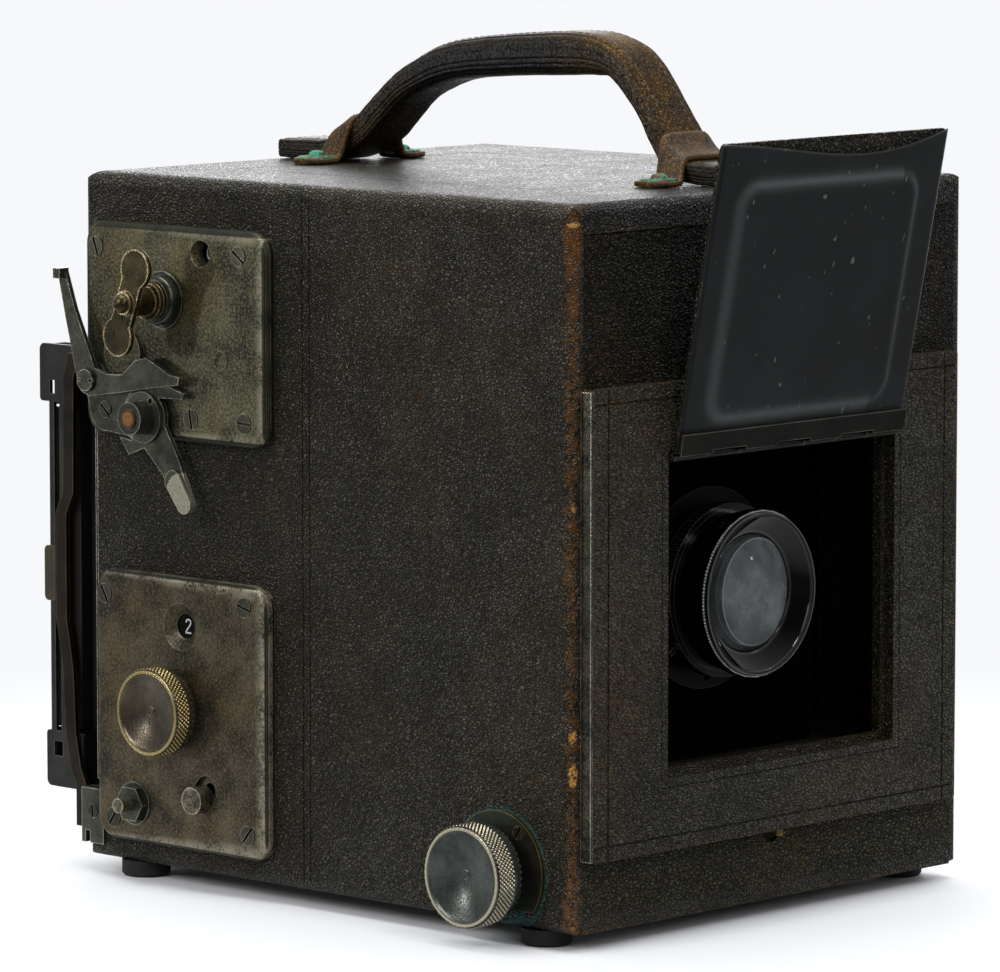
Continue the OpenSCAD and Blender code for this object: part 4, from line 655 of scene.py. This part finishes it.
# The slope round the field gets a painted highlight, weak towards +X as if lit from -X, and each vertex
# says how much
ramp = np.exp(-(inset / 2.4) ** 2) * np.where(x > half - 22, 0.15, 1.0)
shade = pan.data.attributes.new("ramp", "FLOAT", "POINT")
spots = np.empty(len(pan.data.vertices) * 3)
pan.data.vertices.foreach_get("co", spots)
spots = spots.reshape(-1, 3) * 1000
across = np.clip(np.rint((spots[:, 0] / half + 1) * 60).astype(int), 0, 120)
down = (spots[:, 1] - axis_y) * -math.sin(lean) + (spots[:, 2] - axis_z) * math.cos(lean)
row = np.clip(np.rint((down - 2.3) / (free[0, across] - 2.3) * 120).astype(int), 0, 120)
shade.data.foreach_set("value", ramp[row, across])
# Blue-black satin, streaked, and chipped to a bronze-coloured primer along its edges
material, add = new_material("door_lacquer")
place = add("TexCoord").outputs["Object"]
cloud, rub, fine = (add("TexNoise", place, k, 4.0, 0.65) for k in (22.0, 120.0, 700.0))
tone = add("Mix", add("MapRange", cloud, 0.38, 0.62), linear("151718"), linear("1e2122"),
           data_type="RGBA")
# Painted highlight on the slope round the field
ramp_highlight = add("Attribute", attribute_name="ramp").outputs["Fac"]
streak = add("VectorMath", place, (1.0, 1.0, 0.4), operation="MULTIPLY")
streak = add("TexNoise", streak, 520.0, 1.0, 0.55)
rubbed = add("MapRange", edge_turn(add, 0.0007), 0.985, 0.90)
chipped = add("Math", rubbed, add("MapRange", rub, 0.55, 0.60), operation="MULTIPLY")
for amount, code in ((add("Math", ramp_highlight, 0.85, operation="MULTIPLY"), "4d5352"),
                     (add("MapRange", streak, 0.745, 0.77, 0.0, 0.7), "7c8280"),
                     (add("Math", rubbed, 0.6, operation="MULTIPLY"), "4a5250"),
                     (chipped, "b98a5e")):
    tone = add("Mix", amount, tone, linear(code), data_type="RGBA")
surface(add, tone, add("MapRange", fine, 0.3, 0.7, 0.36, 0.50), fine, 0.00002, Specular_IOR_Level=0.3)
pan.data.materials.append(material)
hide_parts("door_panel")
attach(pan, "door")


# Handle
# One strap of stacked leather layers, sewn through, that arches over the lid and
# runs flat under a loop at each end. Its legs are worn to brown, its grip has stayed
# black, and its layers show as lines along the sides.
def smooth_line(points, steps):
    """The smooth curve through these points, steps to a span, as the part's source blends them."""
    p = np.asarray(points, float)
    p = np.vstack([p[0], p, p[-1]])
    t = np.linspace(0, 1, steps, endpoint=False)[None, :, None]
    a, b, c, d = (p[k:len(p) - 3 + k, None] for k in range(4))
    curve = 0.5 * (2 * b + (c - a) * t + (2 * a - 5 * b + 4 * c - d) * t ** 2
                   + (3 * b - a - 3 * c + d) * t ** 3)
    return np.vstack([curve.reshape(-1, p.shape[1]), p[-1]])


# Along, above the lid and thickness of the strap at points of its arch
lid_top = 254.0
strap = smooth_line([
    (114, 3.9, 7.4), (100, 4.1, 7.8), (88, 4.9, 8.4), (75, 11, 10), (65, 19.4, 11), (55, 28, 11.5),
    (44, 34, 12.6), (27, 39.8, 14.4), (0, 42.8, 15.5), (-28, 44.4, 16), (-43, 44.2, 14.5),
    (-55, 40.6, 10.6), (-67, 28, 7.8), (-76, 15.4, 7.4), (-82, 8.2, 7.6), (-88, 5, 7.8),
    (-96, 4.1, 7.8), (-104, 4, 7.8)], 10)
heading = np.gradient(strap[:, :2], axis=0)
heading /= np.linalg.norm(heading, axis=1)[:, None]
upward = np.stack([heading[:, 1], -heading[:, 0]], 1)
# A section that is nearly square in the flat ends and rounder in the grip
grip = step(strap[:, 1], 8, 26)
flat_part, side_part = np.linspace(-1, 1, 56, endpoint=False), np.linspace(-1, 1, 48, endpoint=False)
a = np.concatenate([flat_part, np.ones(48), -flat_part, -np.ones(48)])[None, :]
b = np.concatenate([np.ones(56), -side_part, -np.ones(56), side_part])[None, :]
power = (7 - 3.2 * grip)[:, None]
size = (np.abs(a) ** power + np.abs(b) ** power) ** (1 / power)
a, b = a / size, b / size
layers = sum(k * np.exp(-((b - seam) / 0.045) ** 2) for k, seam in (
    (1.0, -0.70), (0.7, -0.46), (1.0, -0.20), (0.35, 0.22), (0.8, 0.60)))
across = 12 * a * (1 - 0.032 * layers * step(np.abs(a), 0.75, 0.97))
deep = strap[:, 2:3] / 2 * b
deep = deep - 0.55 * np.exp(-((np.abs(across) - 9.3) / 0.55) ** 2) * step(b, 0.3, 0.9)
rows = np.arange(len(strap))[:, None]
deep = deep + 0.12 * np.sin(rows * 0.9 + 3 * a) * np.sin(rows * 0.37 + 2 * b) * np.abs(a)
points = np.stack([across, strap[:, 0:1] + upward[:, 0:1] * deep,
                   lid_top + strap[:, 1:2] + upward[:, 1:2] * deep], -1)
n, m = points.shape[:2]
faces = grid_faces(n, m, across=True).tolist() + [list(range(m)), list(range((n - 1) * m, n * m))]
handle = piece_of("strap_handle", points, faces)
material, add = new_material("strap_leather")
place = add("TexCoord").outputs["Object"]
x_, y_ = add("SeparateXYZ", place).outputs[:2]
# Brown fibres on the legs and along the upper edges, and black gloss in the grip
fine = add("TexNoise", place, 1150.0, 3.0, 0.75)
rub = add("TexNoise", place, 90.0, 4.0, 0.65)
legs = add("Math", add("MapRange", y_, -0.018, -0.046), add("MapRange", y_, 0.040, 0.066, 0.0, 0.8),
           operation="MAXIMUM")
legs = add("Math", legs, add("MapRange", add("Math", y_, operation="ABSOLUTE"), 0.080, 0.094, 1.0, 0.2),
           operation="MULTIPLY")
upper = add("MapRange", add("SeparateXYZ", add("NewGeometry").outputs["Normal"]).outputs[2], 0.25, 0.7)
edges = add("MapRange", add("Math", x_, operation="ABSOLUTE"), 0.0085, 0.0115, 0.05, 0.35)
wear = add("Math", legs, add("MapRange", upper, 0.0, 1.0, 0.45, 1.0), operation="MULTIPLY")
wear = add("Math", wear, add("Math", edges, upper, operation="MULTIPLY"), operation="MAXIMUM")
wear = add("Math", wear, add("MapRange", rub, 0.34, 0.58, 0.35, 1.0), operation="MULTIPLY")
colour = linear("0a0a08")
for low, high, code in ((0.36, 0.52, "45320f"), (0.56, 0.68, "a27334")):
    amount = add("Math", wear, add("MapRange", fine, low, high), operation="MULTIPLY")
    colour = add("Mix", amount, colour, linear(code), data_type="RGBA")
gloss = add("Math", add("Math", 1.0, wear, operation="SUBTRACT"), add("MapRange", fine, 0.4, 0.6),
            operation="MULTIPLY")
level = add("Math", gloss, add("Math", 1.05, upper, operation="SUBTRACT"), operation="MULTIPLY")
surface(add, colour, add("MapRange", gloss, 0.0, 1.0, 0.55, 0.26), fine, 0.00016,
        Specular_IOR_Level=add("MapRange", level, 0.0, 1.0, 0.08, 0.6))
handle.data.materials.append(material)
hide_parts("handle_strap")
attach(handle, "lid")

# Stitches of the strap
# Waxed thread in two rows along the top, one stitch every 3.2 mm.
along = np.concatenate([[0], np.cumsum(np.linalg.norm(np.diff(strap[:, :2], axis=0), axis=1))])
middle = np.arange(6.0, along[-1] - 6, 3.2)
ring = np.linspace(0, 2 * np.pi, 6, endpoint=False)[None, None, :]
reach = np.array([-1.1, -0.9, 0.9, 1.1])[None, :, None]
thick = np.array([0.08, 0.30, 0.30, 0.08])[None, :, None]
at = middle[:, None, None] + reach + 0 * ring
lift = thick * np.sin(ring) + 0 * at
y_at, z_at, t_at = (np.interp(at, along, strap[:, k]) for k in range(3))
n_y, n_z = (np.interp(at, along, upward[:, k]) for k in range(2))
p_at = np.interp(at, along, power[:, 0])
top = t_at / 2 * (1 - 0.55 ** p_at) ** (1 / p_at) - 0.09 + lift
rows = []
for row in (-6.6, 6.6):
    rows.append(np.stack([row + thick * np.cos(ring) + 0 * at, y_at + n_y * top,
                          lid_top + z_at + n_z * top], -1))
points = np.concatenate(rows).reshape(-1, 3)
one = grid_faces(4, 6, across=True)
faces = (one[None] + 24 * np.arange(len(points) // 24)[:, None, None]).reshape(-1, 4)
thread = piece_of("strap_stitches", points, faces)
# Brown thread, dull and uneven in colour
material, add = new_material("waxed_thread")
surface(add, add("Mix", add("TexNoise", add("TexCoord").outputs["Object"], 700.0, 3.0, 0.55),
                 linear("1d180f"), linear("5f4c2c"), data_type="RGBA"), 0.6)
thread.data.materials.append(material)
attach(thread, "lid")

# Loops that hold the strap down
# Bands of thick leather, bent over the strap and splayed into a foot on each side,
# where a brass washer and a rivet hold them. The washers have gone green.
strap_top_y = strap[:, 0] + upward[:, 0] * strap[:, 2] / 2
strap_top_z = strap[:, 1] + upward[:, 1] * strap[:, 2] / 2
half_arch = smooth_line([(0, 1.0), (6, 1.0), (10.2, 0.97), (12.4, 0.84), (14.2, 0.56), (16.0, 0.30),
                         (18.2, 0.13), (23.0, 0.085), (31.0, 0.07)], 8)
arch = np.concatenate([half_arch[::-1] * (-1, 1), half_arch[1:]])
# Dull green crust over dark brass
green, add = new_material("brass_verdigris")
place = add("TexCoord").outputs["Object"]
crust = add("MapRange", add("TexNoise", place, 260.0, 4.0, 0.7), 0.44, 0.60)
colour = add("Mix", crust, linear("4a4128"), linear("2c8a72"), data_type="RGBA")
surface(add, colour, add("MapRange", crust, 0.0, 1.0, 0.42, 0.85), crust, 0.0003,
        Metallic=add("MapRange", crust, 0.0, 1.0, 0.8, 0.0))
# Brown-black leather, tan where its cut edges are worn
loop_leather, add = new_material("loop_leather")
place = add("TexCoord").outputs["Object"]
fine, rub = add("TexNoise", place, 1000.0, 3.0, 0.75), add("TexNoise", place, 130.0, 4.0, 0.65)
colour = add("Mix", add("MapRange", rub, 0.36, 0.62), linear("17120a"), linear("40301a"),
             data_type="RGBA")
for amount, code in ((add("MapRange", fine, 0.50, 0.66, 0.0, 0.6), "8a6232"),
                     (add("MapRange", edge_turn(add, 0.0012), 0.98, 0.85, 0.0, 0.8), "bb8630")):
    colour = add("Mix", amount, colour, linear(code), data_type="RGBA")
surface(add, colour, add("MapRange", fine, 0.3, 0.7, 0.42, 0.62), fine, 0.0002, Specular_IOR_Level=0.2)
for name, middle_y, tilt in (("rear", 83.0, -1.0), ("front", -87.5, 1.0)):
    v = np.linspace(-1, 1, 15)[None, :]
    x, rise = arch[:, 0:1], arch[:, 1:2]
    foot = step(np.abs(x), 13.5, 22)
    wide = 5.6 + 2.0 * foot
    wide = wide * np.sqrt(np.clip(1 - (np.clip(np.abs(x) - 22, 0, 9) / 9.02) ** 4, 0.0, 1))
    y = middle_y + wide * v + tilt * (1 - foot) * (3.0 * rise)
    order = np.argsort(strap_top_y)
    over = np.interp(y, strap_top_y[order], strap_top_z[order])
    over = np.clip(over, 7.6, 16.2) + 1.0
    z = rise * over * (1 - foot) + 1.35 * foot
    slope_x, slope_z = np.gradient(x + 0 * v, axis=0), np.gradient(z, axis=0)
    length = np.hypot(slope_x, slope_z)
    thick = 1.15 * (1 - 0.35 * np.abs(v) ** 8) + 0.08 * np.sin(5 * x + 9 * v)
    outer = np.stack([x - thick * slope_z / length, y, lid_top + z + thick * slope_x / length], -1)
    inner = np.stack([x + thick * slope_z / length, y,
                      lid_top + np.maximum(z - thick * slope_x / length, 0.05)], -1)
    loop = slab_of("loop_" + name, outer, inner)
    loop.data.materials.append(loop_leather)
    if name == "rear":
        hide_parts("handle_loops")
    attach(loop, "lid")
    # Washer and rivet, turned as one profile
    profile = np.array([(0, 3.7), (1.4, 3.6), (2.5, 3.1), (3.0, 2.45), (3.2, 1.75), (6.4, 1.7),
                        (6.9, 1.3), (6.9, 0.6), (0, 0.6)])
    angle = np.linspace(0, 2 * np.pi, 40, endpoint=False)
    for s in (-1, 1):
        x = s * 22.6 + profile[:, 0:1] * np.cos(angle) * np.where(profile[:, 0:1] > 3.2, 1.12, 1)
        y = middle_y + profile[:, 0:1] * np.sin(angle) * np.where(profile[:, 0:1] > 3.2, 0.92, 1)
        z = lid_top + 1.3 + profile[:, 1:2] + 0.12 * np.sin(3 * angle) * (profile[:, 0:1] > 3.2)
        washer = piece_of(f"loop_washer_{name}_{'left' if s > 0 else 'right'}",
                          np.stack([x, y, z + 0 * x], -1),
                          grid_faces(len(profile), len(angle), across=True))
        washer.data.materials.append(green)
        if name == "rear" and s < 0:
            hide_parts("handle_feet")
        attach(washer, "lid")

# Bellows
# Black cloth folded in six pleats, glued to the lens board and to the front of the
# mirror box. It is matt black, and shuts out light while the lens moves.
n_pleats = 6
s = np.linspace(0, 1, n_pleats * 8 + 1)[:, None]
fold = 58 - 4.6 * np.abs(2 * ((s * n_pleats) % 1) - 1) ** 0.8
corner = np.linspace(0, 2 * np.pi, 96, endpoint=False)[None, :] + np.pi / 96
cx, cz = np.cos(corner), np.sin(corner)
grow = (np.abs(cx) ** 14 + np.abs(cz) ** 14) ** (1 / 14)
rings = [np.stack([(fold - k) * cx / grow, -82 + 24 * s + 0 * corner,
                   lens_z + (fold - k) * cz / grow], -1) for k in (0.0, 1.2)]
n, m = rings[0].shape[:2]
shell = np.concatenate([rings[0], rings[1][::-1]])
bellows = piece_of("pleated_bellows", shell, grid_faces(2 * n, m, across=True, along=True))
cloth = patina("bellows_cloth", "08080a", "0e0e10", "18181a", 0.8, metallic=0.0)
bellows.data.materials.append(cloth)
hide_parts("bellows")
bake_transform(bellows)

# Focusing hood
# Black leather cloth folded down in pleats over the ground glass, glued below to the
# screen's frame and above to the lid. It rises as the lid opens.
s = np.linspace(0, 1, 49)[:, None]
fold = 3.0 * np.abs(2 * ((s * 6) % 1) - 1) ** 0.8
corner = np.linspace(0, 2 * np.pi, 120, endpoint=False)[None, :] + np.pi / 120
cx, cy = np.cos(corner), np.sin(corner)
grow = (np.abs(cx) ** 16 + np.abs(cy) ** 16) ** (1 / 16)
rings = [np.stack([(91.8 - fold - k) * cx / grow, 7 + (66.8 - fold - k) * cy / grow,
                   217.2 + 26 * s + 0 * corner], -1) for k in (0.0, 1.2)]
n, m = rings[0].shape[:2]
hood = piece_of("pleated_hood", np.concatenate([rings[0], rings[1][::-1]]),
                grid_faces(2 * n, m, across=True, along=True))
hood.data.materials.append(cloth)
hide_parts("focusing_hood")
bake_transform(hood)

# Shutter curtain
# Black rubberised silk, glued to both rollers and drawn flat between them. The slits
# that such a curtain has aren't made.
u = np.linspace(-87, 87, 30)[None, :]
v = np.linspace(37.6, 219.7, 40)[:, None]
front_side = np.stack([u + 0 * v, 103.7 + 0 * u * v, v + 0 * u], -1)
curtain = slab_of("silk_curtain", front_side, front_side + (0, 0.6, 0))
curtain.data.materials.append(cloth)
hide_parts("shutter_curtain")
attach(curtain, "case")


# Knobs
# Turned and diamond-knurled brass knobs in gunmetal finish. The knurl has worn
# bright on its points, and the faces are dished.
def turned(name, profile, centre, count, relief, pitch):
    """A round piece about an axis along -X through centre, from (radius, distance from x = 0)
    pairs.

    relief raises crossing ridges, count round and pitch apart along, where the third number
    of a pair is 1.
    """
    p = np.asarray(profile, float)
    angle = np.linspace(0, 2 * np.pi, count * 8, endpoint=False)[None, :]
    travel = p[:, 1:2] / pitch * 2 * np.pi
    ridges = np.minimum(np.abs(np.sin((count * angle + travel) / 2)),
                        np.abs(np.sin((count * angle - travel) / 2)))
    radius = p[:, 0:1] + relief * ridges * p[:, 2:3]
    x = -p[:, 1:2] + 0 * angle
    points = np.stack([x, centre[0] + radius * np.cos(angle), centre[1] + radius * np.sin(angle)], -1)
    return piece_of(name, points, grid_faces(len(p), points.shape[1], across=True))


for name, body, centre, radius, base, height, collar, dish, count, tones in (
        ("focus", "focus_drive", (-88.0, 19.6), 17.5, 112.9, 12.0, 3.6, 3.2, 70,
         ("3a3f3c", "5c615c", "d4ccae")),
        ("tension", "tension", (72.5, 60.0), 15.5, 113.3, 8.5, 2.0, 2.6, 62,
         ("443d34", "675d4e", "cbb678"))):
    tip = base + height
    pitch = math.pi * 2 * radius / count * 1.25
    rim = [(radius - 1.2, base - 0.05, 0), (radius, base + 0.05, 0), (radius + 0.12, base + 0.3, 0),
           (radius + 0.12, base + collar - 0.3, 0), (radius, base + collar, 0)]
    rim += [(radius + 0.15, x, 1) for x in np.arange(base + collar + 0.1, tip - 0.9, 0.14)]
    rim += [(radius + 0.05, tip - 0.75, 0), (radius + 0.15, tip - 0.3, 0), (radius - 0.1, tip + 0.02, 0),
            (radius - 0.5, tip + 0.04, 0), (radius - 0.7, tip - 0.15, 0), (radius - 0.9, tip, 0),
            (radius - 1.2, tip, 0), (radius - 1.4, tip - 0.15, 0)]
    face = [(r, tip - 0.2 - dish * (1 - (r / (radius - 1.5)) ** 2) ** 1.2 * 0.85, 0)
            for r in np.linspace(radius - 1.6, 1.9, 16)]
    face += [(1.7, face[-1][1] + 0.12, 0), (1.4, face[-1][1] + 0.12, 0), (1.25, face[-1][1] - 0.02, 0),
             (0.0, face[-1][1] - 0.02, 0)]
    knob = turned("knurled_knob_" + name, rim + face, centre, count, 0.62, pitch)
    knob_metal = patina("knob_" + name, *tones, 0.22, 80.0, edge=0.0003,
                        tips=([k / 1000 for k in centre], radius / 1000), behind=-0.1065)
    knob.data.materials.append(knob_metal)
    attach(knob, body)
    dress(knob_metal, name + "_knob")


# Numbers on the dials
# White paint in figures engraved on black discs, which turn with the upper roller's
# gear and with the tension knob, behind the windows of the plates.
# Matt white, a little yellowed and uneven
paint, add = new_material("figure_paint")
surface(add, add("Mix", add("TexNoise", add("TexCoord").outputs["Object"], 900.0, 3.0, 0.55),
                 linear("b9b9b4"), linear("e8e8e4"), data_type="RGBA"), 0.55)


def figure(name, path, width, centre, x, body):
    """A painted stroke of that width in millimetres along a path of (across, up) points, on a
    disc at x.

    Across runs towards -Y, as it is read from the side.
    """
    p = smooth_line(path, 8)
    way = np.gradient(p, axis=0)
    way /= np.linalg.norm(way, axis=1)[:, None] + 1e-9
    side = np.stack([-way[:, 1], way[:, 0]], 1) * width / 2
    rows = np.stack([p - side, p + side], 1)
    front = np.stack([np.full(rows.shape[:2], x - 0.06), centre[0] - rows[..., 0],
                      centre[1] + rows[..., 1]], -1)
    made = slab_of(name, front, front + (0.05, 0, 0))
    made.data.materials.append(paint)
    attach(made, body)


figure("figure_two", [(-1.25, 1.5), (-0.9, 2.3), (0, 2.65), (0.95, 2.2), (1.15, 1.3), (0.5, 0.2),
                      (-0.6, -1.0), (-1.35, -2.2), (-1.0, -2.3), (0, -2.2), (0.9, -2.35), (1.4, -2.0)],
       0.62, (66.6, 90.6), -106.0, "tension")
figure("figure_nought", [(0, 2.3), (0.9, 1.6), (1.2, 0), (0.9, -1.6), (0, -2.3), (-0.9, -1.6), (-1.2, 0),
                         (-0.9, 1.6), (0, 2.3)], 0.6, (57.4, 227.2), -103.2, "dial")
